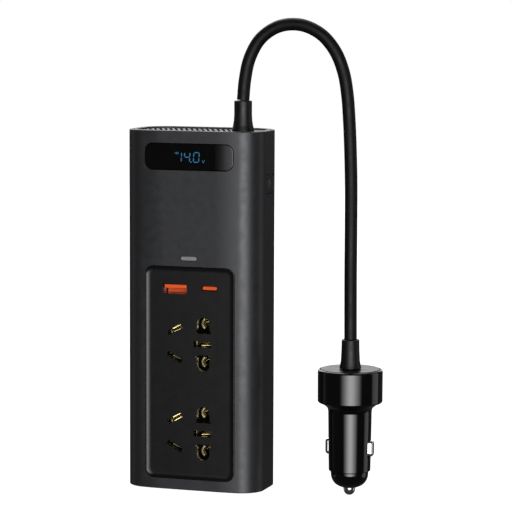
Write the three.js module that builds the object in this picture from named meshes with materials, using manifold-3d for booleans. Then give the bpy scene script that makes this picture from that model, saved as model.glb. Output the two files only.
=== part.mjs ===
// Hand-held 12 V power inverter. An extruded aluminium sleeve stands on its lower end and holds a
// display, two USB ports and two mains sockets on its front. A stiff lead leaves the upper end, arches
// over and comes down to a vehicle power plug that stands on its centre pin beside the sleeve.
// Millimetres. +X is across the front, -Y is the front, +Z is up. The origin is the centre of the base.

import * as THREE from 'three';
import { mergeVertices } from 'three/addons/utils/BufferGeometryUtils.js';
import Module from 'manifold-3d';

const wasm = await Module();
wasm.setup();

// ---- Driving dimensions ----

// Sleeve
const WIDTH = 69.5;
const DEPTH = 38.9;
const HEIGHT = 176;
const FRONT_RADIUS = 12;
const BACK_RADIUS = 14.6;
const WALL = 1.8;
const GAP = 0.3;
const FRONT_Y = -DEPTH / 2;
const WALL_BACK_Y = FRONT_Y + WALL;
const SIDE_X = WIDTH / 2;

// Screw ports of the extrusion, and the rails that the main board slides in
const PORT_RADIUS = 3.1;
const PORT_HOLE_RADIUS = 1.65;
const PORT_INSET = 4.8;
const PORT_END = 3.2;
const RAIL_X = 30.6;
const RAIL_THICKNESS = 0.7;

// End caps
const CAP_THICKNESS = 2.6;
const CAP_RECESS = 0.8;
const CAP_BORDER = 3.8;
const VENT_PITCH = 2.75;
const VENT_WIDTH = 1.35;
const VENT_SLANT = 0.41;
const TOP_VENT_COUNT = 17;
const TOP_VENT_X = -30;
const BASE_VENT_COUNT = 14;

// Display and status light
const DISPLAY_WIDTH = 45.2;
const DISPLAY_HEIGHT = 12.6;
const DISPLAY_X = -0.4;
const DISPLAY_Z = 163.45;
const DISPLAY_RADIUS = 3.9;
const LIGHT_WIDTH = 8.2;
const LIGHT_HEIGHT = 2;
const LIGHT_X = -0.4;
const LIGHT_Z = 114.1;

// Socket panel
const PANEL_WIDTH = 45.8;
const PANEL_HEIGHT = 104.2;
const PANEL_Z = 57.75;
const PANEL_RADIUS = 4.2;
const PANEL_RIM = 0.25;
const PANEL_CURVE_WIDTH = 2.4;
const PANEL_CURVE_DEPTH = 1.4;
const PANEL_FLOOR_Y = -18.2;
const PANEL_BACK_Y = -16;

// USB ports
const USB_A_X = -7.87;
const USB_A_Z = 98.95;
const USB_A_WIDTH = 13.1;
const USB_A_HEIGHT = 5.75;
const USB_C_X = 9.83;
const USB_C_Z = 99.75;
const USB_C_WIDTH = 8.94;
const USB_C_HEIGHT = 3.26;
const USB_FRONT_Y = PANEL_BACK_Y + GAP;
const USB_A_WALL = 0.35;
const USB_C_WALL = 0.3;
const USB_A_TONGUE_Y = -17.2;
const USB_C_TONGUE_Y = -17.4;

// Mains sockets: each has two slanted slots on the left, and two pin holes and an earth slot on the right
const SOCKET_Z = { upper: 72.2, lower: 28.2 };
const SLANT_X = -7.97;
const SLANT_Z = 6.9;
const SLANT_ANGLE = Math.PI / 6;
const SLANT_LENGTH = 8.4;
const SLANT_HEIGHT = 2.2;
const PIN_X = 6.83;
const PIN_Z = 9.5;
const PIN_HOLE_RADIUS = 3.3;
const PIN_HOLE_BASE = 5.3;
const PIN_HOLE_TOP = 13.25;
const BLADE_WIDTH = 7.8;
const BLADE_HEIGHT = 1.4;
const EARTH_X = 6.28;
const EARTH_LENGTH = 9.2;
const EARTH_HEIGHT = 2.9;
const CARRIER_FRONT_Y = PANEL_BACK_Y + GAP;
const CARRIER_BACK_Y = 4.6;
const CONTACT_FRONT_Y = -13.8;
const PIN_FORK_FRONT_Y = -12;
const CONTACT_BACK_Y = 2;
const LEAF = 0.5;

// Main board and what is on it
const BOARD_FRONT_Y = 6.4;
const BOARD_BACK_Y = 8;
const BOARD_TOP_Z = 157;
const PART_Y = -2.4;

// Power button
const BUTTON_Y = -0.5;
const BUTTON_Z = 150.05;
const BUTTON_WIDTH = 12.6;
const BUTTON_HEIGHT = 9.3;

// Fan
const FAN_X = -6;
const FAN_Y = 2.3;
const FAN_Z = 160;
const FAN_SIZE = 25;
const FAN_THICKNESS = 10;
const FAN_BLADES = 7;

// Lead and plug
const LEAD_X = 21.8;
const LEAD_Y = -3;
const LEAD_DIAMETER = 6.1;
const RELIEF_TOP_Z = 190.4;
const PLUG_X = 76.9;
const PLUG_TURN = THREE.MathUtils.degToRad(-2);
const CONTACT_LOW_Z = 19.6;
const CONTACT_HIGH_Z = 27.5;
const CONTACT_OUTER = 12.15;
const CONTACT_WIDTH = 5;

// Route of the lead's centre line as [x, z], in the plane y = LEAD_Y
const LEAD_ROUTE = [
  [21.8, 190.7], [22.7, 200.5], [25.1, 211.0], [30.7, 220.5],
  [39.9, 226.4], [50.8, 227.2], [60.9, 222.9], [68.1, 214.9],
  [72.4, 204.8], [74.4, 193.9], [75.4, 182.0], [76.1, 168.0],
  [76.6, 151.0], [76.7, 131.0], [76.7, 105.1], [76.9, 76.5],
];

// ---- Materials ----

function paint(colour, roughness, metalness) {
  return { color: colour, roughness, metalness };
}

const GREY_ALUMINIUM = paint(0x3a3a3d, 0.45, 0.7);
const DARK_PLASTIC = paint(0x222224, 0.55, 0);
const GLOSS_BLACK = paint(0x0a0a0b, 0.12, 0);
const RUBBER = paint(0x1d1d1e, 0.7, 0);
const LIGHT_PIPE = paint(0xb4b4b4, 0.4, 0);
const BRASS = paint(0xc9a44a, 0.3, 1);
const STEEL = paint(0xb8babd, 0.3, 1);
const ORANGE = paint(0xf0561e, 0.45, 0);
const BOARD_GREEN = paint(0x1d5c3a, 0.5, 0);
const FERRITE = paint(0x333336, 0.6, 0.2);
const COPPER = paint(0xb06a3a, 0.4, 0.8);
const BARE_ALUMINIUM = paint(0xb4b6b8, 0.35, 0.9);
const CAPACITOR_SLEEVE = paint(0x1c2b55, 0.4, 0);
const RED_WIRE = paint(0xa81f1f, 0.5, 0);
const GLASS = paint(0xd8dde0, 0.1, 0);

// ---- Shapes ----

const AXIS_X = new THREE.Vector3(1, 0, 0);
const AXIS_Y = new THREE.Vector3(0, 1, 0);
const AXIS_Z = new THREE.Vector3(0, 0, 1);
const QUARTER = Math.PI / 2;

/** Rectangle with round corners, centred on (x, y). */
function roundedRect(width, height, radius, x = 0, y = 0) {
  const right = width / 2 - radius;
  const top = height / 2 - radius;
  const shape = new THREE.Shape();
  shape.absarc(x + right, y - top, radius, -QUARTER, 0);
  shape.absarc(x + right, y + top, radius, 0, QUARTER);
  shape.absarc(x - right, y + top, radius, QUARTER, 2 * QUARTER);
  shape.absarc(x - right, y - top, radius, 2 * QUARTER, 3 * QUARTER);
  shape.closePath();
  return shape;
}

/** The sleeve's section, drawn in by inset from its outer surface. */
function bodyOutline(inset) {
  const front = FRONT_RADIUS - inset;
  const back = BACK_RADIUS - inset;
  const frontX = SIDE_X - FRONT_RADIUS;
  const backX = SIDE_X - BACK_RADIUS;
  const frontY = FRONT_Y + FRONT_RADIUS;
  const backY = DEPTH / 2 - BACK_RADIUS;
  const shape = new THREE.Shape();
  shape.absarc(frontX, frontY, front, -QUARTER, 0);
  shape.absarc(backX, backY, back, 0, QUARTER);
  shape.absarc(-backX, backY, back, QUARTER, 2 * QUARTER);
  shape.absarc(-frontX, frontY, front, 2 * QUARTER, 3 * QUARTER);
  shape.closePath();
  return shape;
}

function polygon(points) {
  return new THREE.Shape(points.map(([x, y]) => new THREE.Vector2(x, y)));
}

// ---- Solids ----

/** A closed geometry as a solid that can be cut and joined. */
function solid(geometry) {
  const bare = geometry.clone();
  bare.deleteAttribute('normal');
  bare.deleteAttribute('uv');
  const merged = mergeVertices(bare);
  return new wasm.Manifold(new wasm.Mesh({
    numProp: 3,
    vertProperties: new Float32Array(merged.attributes.position.array),
    triVerts: new Uint32Array(merged.index.array),
  }));
}

function geometryOf(body) {
  const mesh = body.getMesh();
  const geometry = new THREE.BufferGeometry();
  geometry.setAttribute('position', new THREE.BufferAttribute(mesh.vertProperties, 3));
  geometry.setIndex(new THREE.BufferAttribute(mesh.triVerts, 1));
  geometry.computeVertexNormals();
  return geometry;
}

function extrude(shape, depth, curveSegments = 3) {
  return new THREE.ExtrudeGeometry(shape, { depth, curveSegments, bevelEnabled: false });
}

/** Prism of a shape drawn in X and Y, from low to high in Z. */
function upright(shape, low, high, curveSegments) {
  return solid(extrude(shape, high - low, curveSegments).translate(0, 0, low));
}

/** Prism of a shape drawn in X and Z, from near the front to further back in Y. */
function facing(shape, frontY, backY, curveSegments) {
  const geometry = extrude(shape, backY - frontY, curveSegments);
  geometry.applyMatrix4(new THREE.Matrix4().makeBasis(AXIS_X, AXIS_Z, AXIS_Y.clone().negate()));
  return solid(geometry.translate(0, backY, 0));
}

/** Prism of a shape drawn in Y and Z, from low to high in X. */
function sideways(shape, low, high, curveSegments) {
  const geometry = extrude(shape, high - low, curveSegments);
  geometry.applyMatrix4(new THREE.Matrix4().makeBasis(AXIS_Y, AXIS_Z, AXIS_X));
  return solid(geometry.translate(low, 0, 0));
}

function box([x0, x1], [y0, y1], [z0, z1]) {
  const geometry = new THREE.BoxGeometry(x1 - x0, y1 - y0, z1 - z0);
  return solid(geometry.translate((x0 + x1) / 2, (y0 + y1) / 2, (z0 + z1) / 2));
}

/** Upright cylinder at (x, y) from low to high in Z. */
function post(radius, x, y, low, high, segments = 20) {
  const geometry = new THREE.CylinderGeometry(radius, radius, high - low, segments);
  return solid(geometry.rotateX(QUARTER).translate(x, y, (low + high) / 2));
}

/** Solid of revolution about Z. Its profile is [radius, z] pairs, going up the outside. */
function turned(profile, segments = 32) {
  const points = profile.map(([radius, z]) => new THREE.Vector2(radius, z));
  return solid(new THREE.LatheGeometry(points, segments).rotateX(QUARTER));
}

/** Points of an arc about (radius, z), both ends included. */
function arc(radius, z, reachOut, reachUp, from, to, steps) {
  return Array.from({ length: steps + 1 }, (unused, step) => {
    const angle = from + (to - from) * step / steps;
    return [radius + reachOut * Math.cos(angle), z + reachUp * Math.sin(angle)];
  });
}

/** Round tube along a smooth curve through the points. */
function tube(points, radius, sides, steps) {
  const path = new THREE.CatmullRomCurve3(points);
  const section = new THREE.Shape();
  section.absarc(0, 0, radius, 0, 2 * Math.PI);
  return solid(new THREE.ExtrudeGeometry(section, {
    curveSegments: sides / 2, steps, extrudePath: path,
  }));
}

function union(bodies) {
  return bodies.reduce((all, next) => all.add(next));
}

// ---- Scene graph ----

const inverter = new THREE.Group();

const plug = new THREE.Group();
plug.position.set(PLUG_X, LEAD_Y, 0);
plug.rotation.z = PLUG_TURN;
inverter.add(plug);

function addPiece(name, body, material, parent = inverter) {
  const mesh = new THREE.Mesh(geometryOf(body), new THREE.MeshStandardMaterial(material));
  mesh.name = name;
  parent.add(mesh);
  return mesh;
}

// ---- Sleeve and end caps ----

/** The four corners that the screw ports stand in, on the diagonals of the sleeve's corner arcs. */
function portPlaces() {
  const corners = [[FRONT_RADIUS, -1], [BACK_RADIUS, 1]];
  return corners.flatMap(([radius, end]) => {
    const reach = (radius - PORT_INSET) * Math.SQRT1_2;
    const x = SIDE_X - radius + reach;
    const y = end * (DEPTH / 2 - radius + reach);
    return [[-x, y], [x, y]];
  });
}

/** The display window's outline, let out by margin. */
function displayOutline(margin, radius) {
  return roundedRect(
    DISPLAY_WIDTH + 2 * margin, DISPLAY_HEIGHT + 2 * margin, radius, DISPLAY_X, DISPLAY_Z,
  );
}

function boardRails() {
  const low = BOARD_FRONT_Y - GAP - RAIL_THICKNESS;
  const high = BOARD_BACK_Y + GAP;
  const ends = [PORT_END, HEIGHT - PORT_END];
  return [-1, 1].flatMap((side) => {
    const across = side < 0 ? [-SIDE_X + WALL / 2, -RAIL_X] : [RAIL_X, SIDE_X - WALL / 2];
    return [low, high].map((y) => box(across, [y, y + RAIL_THICKNESS], ends));
  });
}

function makeShell() {
  const places = portPlaces();
  const ports = places.map(([x, y]) => post(PORT_RADIUS, x, y, PORT_END, HEIGHT - PORT_END));
  const bores = places.map(([x, y]) => post(PORT_HOLE_RADIUS, x, y, 0, HEIGHT, 12));
  const outer = upright(bodyOutline(0), 0, HEIGHT, 6);
  const hollow = upright(bodyOutline(WALL), -1, HEIGHT + 1, 6);
  const through = [FRONT_Y - 1, WALL_BACK_Y + 1];
  const railClearance = box([RAIL_X - 1, SIDE_X - WALL], [4, 9], [BUTTON_Z - 7.5, BUTTON_Z + 7.5]);
  const rails = union(boardRails()).subtract(railClearance);
  const display = displayOutline(GAP, DISPLAY_RADIUS + GAP);
  const panel = roundedRect(PANEL_WIDTH + 2 * GAP, PANEL_HEIGHT + 2 * GAP, PANEL_RADIUS + GAP, 0, PANEL_Z);
  const light = roundedRect(LIGHT_WIDTH + 0.4, LIGHT_HEIGHT + 0.4, 1.1, LIGHT_X, LIGHT_Z);
  const button = roundedRect(BUTTON_WIDTH + 2 * GAP, BUTTON_HEIGHT + 2 * GAP, 1.8, BUTTON_Y, BUTTON_Z);
  const windows = union([
    facing(display, ...through),
    facing(panel, ...through),
    facing(light, ...through),
    sideways(button, SIDE_X - WALL - 0.6, SIDE_X + 1),
  ]);
  const walls = outer.subtract(hollow);
  return union([walls, ...ports, rails]).subtract(union([...bores, windows]));
}

/** Slanted vent slots side by side, cut through from low to high and kept inside the outline. */
function ventSlots(firstX, count, low, high, border) {
  const reach = DEPTH / 2;
  const slots = Array.from({ length: count }, (unused, index) => {
    const x = firstX + index * VENT_PITCH;
    const half = VENT_WIDTH / 2;
    const lean = VENT_SLANT * reach;
    return upright(polygon([
      [x - half + lean, -reach], [x + half + lean, -reach],
      [x + half - lean, reach], [x - half - lean, reach],
    ]), low, high);
  });
  return union(slots).intersect(upright(bodyOutline(border), low, high));
}

function makeTopCap() {
  const low = HEIGHT - CAP_THICKNESS;
  const plate = upright(bodyOutline(WALL + GAP), low, HEIGHT, 5);
  const pocket = upright(bodyOutline(CAP_BORDER), HEIGHT - CAP_RECESS, HEIGHT + 1, 5);
  const slots = ventSlots(TOP_VENT_X, TOP_VENT_COUNT, low - 1, HEIGHT + 1, CAP_BORDER + 1.2);
  const leadHole = post(5, LEAD_X, LEAD_Y, low - 1, HEIGHT + 1, 24);
  return plate.subtract(union([pocket, slots, leadHole]));
}

function makeBottomCap() {
  const plate = upright(bodyOutline(WALL + GAP), 0, CAP_THICKNESS, 5);
  const firstX = -(BASE_VENT_COUNT - 1) * VENT_PITCH / 2;
  const slots = ventSlots(firstX, BASE_VENT_COUNT, -1, CAP_THICKNESS + 1, 8);
  const holes = portPlaces().flatMap(([x, y]) => [
    post(2.2, x, y, -1, 1.7, 16),
    post(1.65, x, y, -1, CAP_THICKNESS + 1, 12),
  ]);
  return plate.subtract(union([slots, ...holes]));
}

/** Pan-head screw that goes up through the base cap into a port, with a slot across its head. */
function makeCapScrew([x, y]) {
  const head = post(1.9, x, y, 0.3, 1.4, 16);
  const shank = post(1.35, x, y, 1.2, 11, 12);
  const slot = box([x - 3, x + 3], [y - 0.3, y + 0.3], [0, 0.8]);
  return head.add(shank).subtract(slot);
}

addPiece('shell', makeShell(), GREY_ALUMINIUM);
addPiece('top_cap', makeTopCap(), DARK_PLASTIC);
addPiece('bottom_cap', makeBottomCap(), DARK_PLASTIC);
portPlaces().forEach((place, index) => {
  addPiece(`cap_screw_${index + 1}`, makeCapScrew(place), STEEL);
});

// ---- Display and status light ----

function makeDisplayWindow() {
  const face = displayOutline(0, DISPLAY_RADIUS);
  const flange = displayOutline(1.3, DISPLAY_RADIUS);
  return facing(face, FRONT_Y + 0.1, -16.5).add(facing(flange, WALL_BACK_Y + GAP, -16.3));
}

addPiece('display_window', makeDisplayWindow(), GLOSS_BLACK);
addPiece('display_module', box([-17, 17], [-16, -12.5], [158, 169]), DARK_PLASTIC);
addPiece('display_board', box([-22, 22], [-12.2, -10.6], [111, 171]), BOARD_GREEN);
addPiece('status_light', facing(
  roundedRect(LIGHT_WIDTH, LIGHT_HEIGHT, 0.9, LIGHT_X, LIGHT_Z), FRONT_Y + 0.1, -12.5,
), LIGHT_PIPE);

// ---- Socket panel ----

/** Hole for a round or flat pin: an arch on a wider flat base. up is 1 when the arch points up. */
function pinHole(centreZ, up) {
  const half = BLADE_WIDTH / 2;
  const base = centreZ + up * PIN_HOLE_BASE;
  const step = base + up * BLADE_HEIGHT;
  const archZ = centreZ + up * (PIN_HOLE_TOP - PIN_HOLE_RADIUS);
  const shape = new THREE.Shape();
  shape.moveTo(PIN_X - half, base);
  shape.lineTo(PIN_X + half, base);
  shape.lineTo(PIN_X + half, step);
  shape.lineTo(PIN_X + PIN_HOLE_RADIUS, step);
  shape.absarc(PIN_X, archZ, PIN_HOLE_RADIUS, 0, up * Math.PI, up < 0);
  shape.lineTo(PIN_X - PIN_HOLE_RADIUS, step);
  shape.lineTo(PIN_X - half, step);
  shape.closePath();
  return shape;
}

/** Rectangle in X and Z turned by angle about its own centre. */
function slantedRect(length, height, x, z, angle) {
  const along = new THREE.Vector2(Math.cos(angle), Math.sin(angle)).multiplyScalar(length / 2);
  const across = new THREE.Vector2(-Math.sin(angle), Math.cos(angle)).multiplyScalar(height / 2);
  const corners = [[-1, -1], [1, -1], [1, 1], [-1, 1]];
  return polygon(corners.map(([a, b]) => [x + a * along.x + b * across.x, z + a * along.y + b * across.y]));
}

function socketHoles(centreZ) {
  const slant = (up) => slantedRect(
    SLANT_LENGTH, SLANT_HEIGHT, SLANT_X, centreZ + up * SLANT_Z, up * SLANT_ANGLE,
  );
  return [
    pinHole(centreZ, 1), pinHole(centreZ, -1), slant(1), slant(-1),
    slantedRect(EARTH_LENGTH, EARTH_HEIGHT, EARTH_X, centreZ, 0),
  ];
}

/** The space in front of the panel's floor, whose edge is rounded where the wall meets the floor. */
function panelDish() {
  const narrow = 2 * (PANEL_RIM + PANEL_CURVE_WIDTH);
  const floor = roundedRect(PANEL_WIDTH - narrow, PANEL_HEIGHT - narrow, 1.4, 0, PANEL_Z);
  const geometry = new THREE.ExtrudeGeometry(floor, {
    depth: 2, curveSegments: 2,
    bevelSize: PANEL_CURVE_WIDTH, bevelThickness: PANEL_CURVE_DEPTH, bevelSegments: 3,
  });
  geometry.applyMatrix4(new THREE.Matrix4().makeBasis(AXIS_X, AXIS_Z, AXIS_Y.clone().negate()));
  return solid(geometry.translate(0, PANEL_FLOOR_Y - PANEL_CURVE_DEPTH, 0));
}

function makeSocketPanel() {
  const face = roundedRect(PANEL_WIDTH, PANEL_HEIGHT, PANEL_RADIUS, 0, PANEL_Z);
  const flange = roundedRect(PANEL_WIDTH + 3.2, PANEL_HEIGHT + 3.2, PANEL_RADIUS, 0, PANEL_Z);
  const body = facing(face, FRONT_Y + 0.05, PANEL_BACK_Y - 0.5)
    .add(facing(flange, WALL_BACK_Y + GAP, PANEL_BACK_Y));
  const holes = Object.values(SOCKET_Z).flatMap(socketHoles);
  const mouthA = [USB_A_WIDTH - 2 * USB_A_WALL, USB_A_HEIGHT - 2 * USB_A_WALL];
  const mouthC = [USB_C_WIDTH - 2 * USB_C_WALL, USB_C_HEIGHT - 2 * USB_C_WALL];
  holes.push(roundedRect(...mouthA, 0.4, USB_A_X, USB_A_Z));
  holes.push(roundedRect(...mouthC, 1.3, USB_C_X, USB_C_Z));
  const cut = union(holes.map((hole) => facing(hole, FRONT_Y - 2, PANEL_BACK_Y + 1)));
  return body.subtract(panelDish()).subtract(cut);
}

addPiece('socket_panel', makeSocketPanel(), DARK_PLASTIC);

// ---- Mains contacts and the carriers that hold them ----

/** Spring channel for a flat blade: two leaves, a wall at their left end and a bridge behind them. */
function bladeFork(length, inner, x, z, angle) {
  const outer = inner + 2 * LEAF;
  const aside = (u) => [x + u * Math.cos(angle), z + u * Math.sin(angle), angle];
  const block = facing(slantedRect(length, outer, x, z, angle), CONTACT_FRONT_Y, CONTACT_BACK_Y);
  const space = slantedRect(length, inner, ...aside(LEAF));
  const slit = facing(space, CONTACT_FRONT_Y - 1, CONTACT_BACK_Y - 0.6);
  return block.subtract(slit);
}

/** Spring fork for a round pin: a curved leaf on each side, the left one wider, and a disc behind. */
function pinFork(x, z) {
  const inner = 2.15;
  const outer = inner + LEAF;
  const ring = new THREE.Shape().absarc(x, z, outer, 0, 2 * Math.PI);
  const bore = new THREE.Shape().absarc(x, z, inner, 0, 2 * Math.PI);
  const depth = [PIN_FORK_FRONT_Y - 1, CONTACT_BACK_Y - 0.6];
  return facing(ring, PIN_FORK_FRONT_Y, CONTACT_BACK_Y, 7)
    .subtract(facing(bore, ...depth, 7))
    .subtract(facing(slantedRect(2.9, 8, x + 0.35, z, 0), ...depth));
}

/** Brass piece that serves one pin hole and the slanted slot on the same side of the socket. */
function makePoleContact(centreZ, up) {
  const pinZ = centreZ + up * PIN_Z;
  const slantZ = centreZ + up * SLANT_Z;
  const strip = box([SLANT_X, PIN_X], [CONTACT_BACK_Y - 0.3, CONTACT_BACK_Y + LEAF], [
    Math.min(slantZ, pinZ) - 0.2, Math.max(slantZ, pinZ) + 0.2,
  ]);
  return union([pinFork(PIN_X, pinZ), bladeFork(8, 1, SLANT_X, slantZ, up * SLANT_ANGLE), strip]);
}

function makeEarthContact(centreZ) {
  const tail = box([EARTH_X - 2, EARTH_X + 2], [CONTACT_BACK_Y - 0.3, CONTACT_BACK_Y + LEAF], [
    centreZ - 1, centreZ + 1,
  ]);
  return bladeFork(8.8, 1.4, EARTH_X - 0.3, centreZ, 0).add(tail);
}

/** Moulded block behind the panel, with a pocket from front to back round each contact. */
function makeCarrier(centreZ) {
  const block = box([-16, 15], [CARRIER_FRONT_Y, CARRIER_BACK_Y], [centreZ - 19.5, centreZ + 19.5]);
  const depth = [CARRIER_FRONT_Y - 1, CARRIER_BACK_Y - 3];
  const rear = [CARRIER_BACK_Y - 3.6, CARRIER_BACK_Y + 1];
  const pockets = [-1, 1].flatMap((up) => {
    const slantZ = centreZ + up * SLANT_Z;
    const middle = centreZ + up * 9;
    return [
      facing(slantedRect(SLANT_LENGTH + 0.2, 2.9, SLANT_X, slantZ, up * SLANT_ANGLE), ...depth),
      box([PIN_X - 4.3, PIN_X + 4.3], depth, [middle - 4.5, middle + 4.5]),
      box([SLANT_X - 5, PIN_X + 4.3], rear, [middle - 5.5, middle + 5]),
    ];
  });
  pockets.push(box([EARTH_X - 5, EARTH_X + 5], depth, [centreZ - 1.7, centreZ + 1.7]));
  pockets.push(box([EARTH_X - 5, EARTH_X + 5], rear, [centreZ - 2, centreZ + 2]));
  return block.subtract(union(pockets));
}

for (const [place, centreZ] of Object.entries(SOCKET_Z)) {
  addPiece(`${place}_socket_carrier`, makeCarrier(centreZ), DARK_PLASTIC);
  addPiece(`${place}_line_contact`, makePoleContact(centreZ, 1), BRASS);
  addPiece(`${place}_neutral_contact`, makePoleContact(centreZ, -1), BRASS);
  addPiece(`${place}_earth_contact`, makeEarthContact(centreZ), BRASS);
}

// ---- USB ports ----

function makePortShell(width, height, radius, x, z, wall, backY) {
  const outer = facing(roundedRect(width, height, radius, x, z), USB_FRONT_Y, backY);
  const mouth = roundedRect(width - 2 * wall, height - 2 * wall, radius - wall, x, z);
  return outer.subtract(facing(mouth, USB_FRONT_Y - 1, backY + 1));
}

const usbAInsulator = union([
  box([USB_A_X - 5.7, USB_A_X + 5.7], [USB_A_TONGUE_Y, -3.8], [USB_A_Z + 0.2, USB_A_Z + 2]),
  box([USB_A_X - 5.8, USB_A_X + 5.8], [-4, -2.2], [USB_A_Z - 2.1, USB_A_Z + 2.1]),
]);
const usbCInsulator = union([
  facing(roundedRect(7.4, 1.7, 0.8, USB_C_X, USB_C_Z), USB_C_TONGUE_Y, -15),
  facing(roundedRect(7.7, 2.06, 1, USB_C_X, USB_C_Z), -15.4, -7.8),
]);
addPiece('usb_a_shell', makePortShell(
  USB_A_WIDTH, USB_A_HEIGHT, 0.5, USB_A_X, USB_A_Z, USB_A_WALL, -2,
), STEEL);
addPiece('usb_a_insulator', usbAInsulator, ORANGE);
addPiece('usb_c_shell', makePortShell(
  USB_C_WIDTH, USB_C_HEIGHT, 1.6, USB_C_X, USB_C_Z, USB_C_WALL, -7.5,
), STEEL);
addPiece('usb_c_insulator', usbCInsulator, ORANGE);
addPiece('usb_board', box([-19, 19], [-14.4, 4.6], [93.8, 95.4]), BOARD_GREEN);

// ---- Power electronics ----

/** Double-E ferrite core: an outer frame with a leg down its middle. */
function makeTransformerCore() {
  const centreX = -7.5;
  const frame = box([centreX - 16.5, centreX + 16.5], [PART_Y - 4.5, PART_Y + 4.5], [112, 140]);
  const openings = [-1, 1].map((side) => {
    const x = centreX + side * 8;
    return box([x - 3.5, x + 3.5], [PART_Y - 5, PART_Y + 5], [116.5, 135.5]);
  });
  return frame.subtract(union(openings));
}

/** Bobbin with its windings, a sleeve round the core's middle leg. */
function makeTransformerWinding() {
  const centreX = -7.5;
  const outer = roundedRect(21.6, 15.2, 3, centreX, PART_Y);
  const leg = roundedRect(9.6, 9.6, 0.4, centreX, PART_Y);
  return upright(outer, 116.9, 135.1).subtract(upright(leg, 116, 136));
}

function makeCapacitor(radius, x, low, high) {
  const half = radius / 2;
  const score = box([x - half, x + half], [PART_Y - 0.2, PART_Y + 0.2], [high - 0.3, high + 1]);
  return post(radius, x, PART_Y, low, high, 24).subtract(score);
}

function makeInductor() {
  const ring = [[3.2, -4.5], [7.3, -4.5], [7.3, 4.5], [3.2, 4.5], [3.2, -4.5]];
  return turned(ring, 24).rotate([90, 0, 0]).translate([-20, PART_Y, 149]);
}

/** Transistor in a flat package: a moulded body on a metal tab, with three legs as one strip. */
function makeTransistor(x) {
  return union([
    box([x - 5, x + 5], [9.2, 13.4], [62, 71]),
    box([x - 5, x + 5], [13, 14.3], [62, 77]),
    box([x - 3, x + 3], [9.8, 10.6], [56, 62.5]),
  ]);
}

addPiece('main_board', box([-31.4, 31.4], [BOARD_FRONT_Y, BOARD_BACK_Y], [6, BOARD_TOP_Z]), BOARD_GREEN);
addPiece('transformer_core', makeTransformerCore(), FERRITE);
addPiece('transformer_winding', makeTransformerWinding(), COPPER);
addPiece('bulk_capacitor', makeCapacitor(7.4, 20, 112, 137), CAPACITOR_SLEEVE);
addPiece('input_capacitor_1', makeCapacitor(5, -5, 141.5, 157.5), CAPACITOR_SLEEVE);
addPiece('input_capacitor_2', makeCapacitor(5, 6.5, 141.5, 157.5), CAPACITOR_SLEEVE);
addPiece('output_inductor', makeInductor(), COPPER);
addPiece('heat_spreader', box([-23, 23], [14.6, 17.3], [30, 80]), BARE_ALUMINIUM);
[-17.25, -5.75, 5.75, 17.25].forEach((x, index) => {
  addPiece(`transistor_${index + 1}`, makeTransistor(x), DARK_PLASTIC);
});

// ---- Power button and its switch ----

function makePowerButton() {
  const face = roundedRect(BUTTON_WIDTH, BUTTON_HEIGHT, 1.5, BUTTON_Y, BUTTON_Z);
  const flange = roundedRect(BUTTON_WIDTH, BUTTON_HEIGHT + 2, 1.5, BUTTON_Y, BUTTON_Z);
  return sideways(face, SIDE_X - 2.8, SIDE_X - 0.25).add(sideways(flange, SIDE_X - 3.5, SIDE_X - 2.5));
}

addPiece('power_button', makePowerButton(), DARK_PLASTIC);
addPiece('switch_body', box([21, 29.6], [-5, 5], [146, 154]), DARK_PLASTIC);

// ---- Fan ----

function makeFanFrame() {
  const half = FAN_SIZE / 2;
  const top = FAN_Z + FAN_THICKNESS;
  const block = upright(roundedRect(FAN_SIZE, FAN_SIZE, 2, FAN_X, FAN_Y), FAN_Z, top);
  const tunnel = post(half - 0.8, FAN_X, FAN_Y, FAN_Z - 1, top + 1, 32);
  const motorBase = post(5.2, FAN_X, FAN_Y, FAN_Z, FAN_Z + 1.4, 20);
  const struts = [0, 1, 2].map((turn) => {
    const geometry = new THREE.BoxGeometry(half, 1.4, 1.4).translate(half / 2, 0, FAN_Z + 0.7);
    return solid(geometry.rotateZ(turn * 2 * Math.PI / 3 + 0.4).translate(FAN_X, FAN_Y, 0));
  });
  return union([block.subtract(tunnel), motorBase, ...struts]);
}

function makeFanRotor() {
  const low = FAN_Z + 1.8;
  const high = FAN_Z + FAN_THICKNESS - 0.4;
  const hub = post(5, FAN_X, FAN_Y, low, high, 20);
  const reach = FAN_SIZE / 2 - 1.5;
  const blades = Array.from({ length: FAN_BLADES }, (unused, index) => {
    const blade = new THREE.BoxGeometry(reach - 4, 0.8, 8.4);
    blade.rotateX(0.75).translate(4 + (reach - 4) / 2, 0, (low + high) / 2);
    return solid(blade.rotateZ(index * 2 * Math.PI / FAN_BLADES).translate(FAN_X, FAN_Y, 0));
  });
  const sweep = post(reach, FAN_X, FAN_Y, low, high, 32);
  return union([hub, ...blades]).intersect(sweep);
}

addPiece('fan_frame', makeFanFrame(), DARK_PLASTIC);
addPiece('fan_rotor', makeFanRotor(), DARK_PLASTIC);

// ---- Lead ----

/** Strain relief on the top cap. It flares to its foot, and the cap's edge sits in a groove below. */
function makeLeadRelief() {
  const capLow = HEIGHT - CAP_THICKNESS;
  const foot = HEIGHT - CAP_RECESS + GAP;
  return turned([
    [0, 166.2], [5.8, 166.2], [5.8, capLow - GAP], [4.6, capLow - GAP], [4.6, foot],
    [5.5, foot], [5.15, 177], [4.75, 179], [4.42, 181.5], [4.33, 184], [4.33, RELIEF_TOP_Z - 0.4],
    [4, RELIEF_TOP_Z], [0, RELIEF_TOP_Z],
  ], 16).translate([LEAD_X, LEAD_Y, 0]);
}

function wire(points) {
  return tube(points.map(([x, y, z]) => new THREE.Vector3(x, y, z)), 1.3, 8, 10);
}

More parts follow.
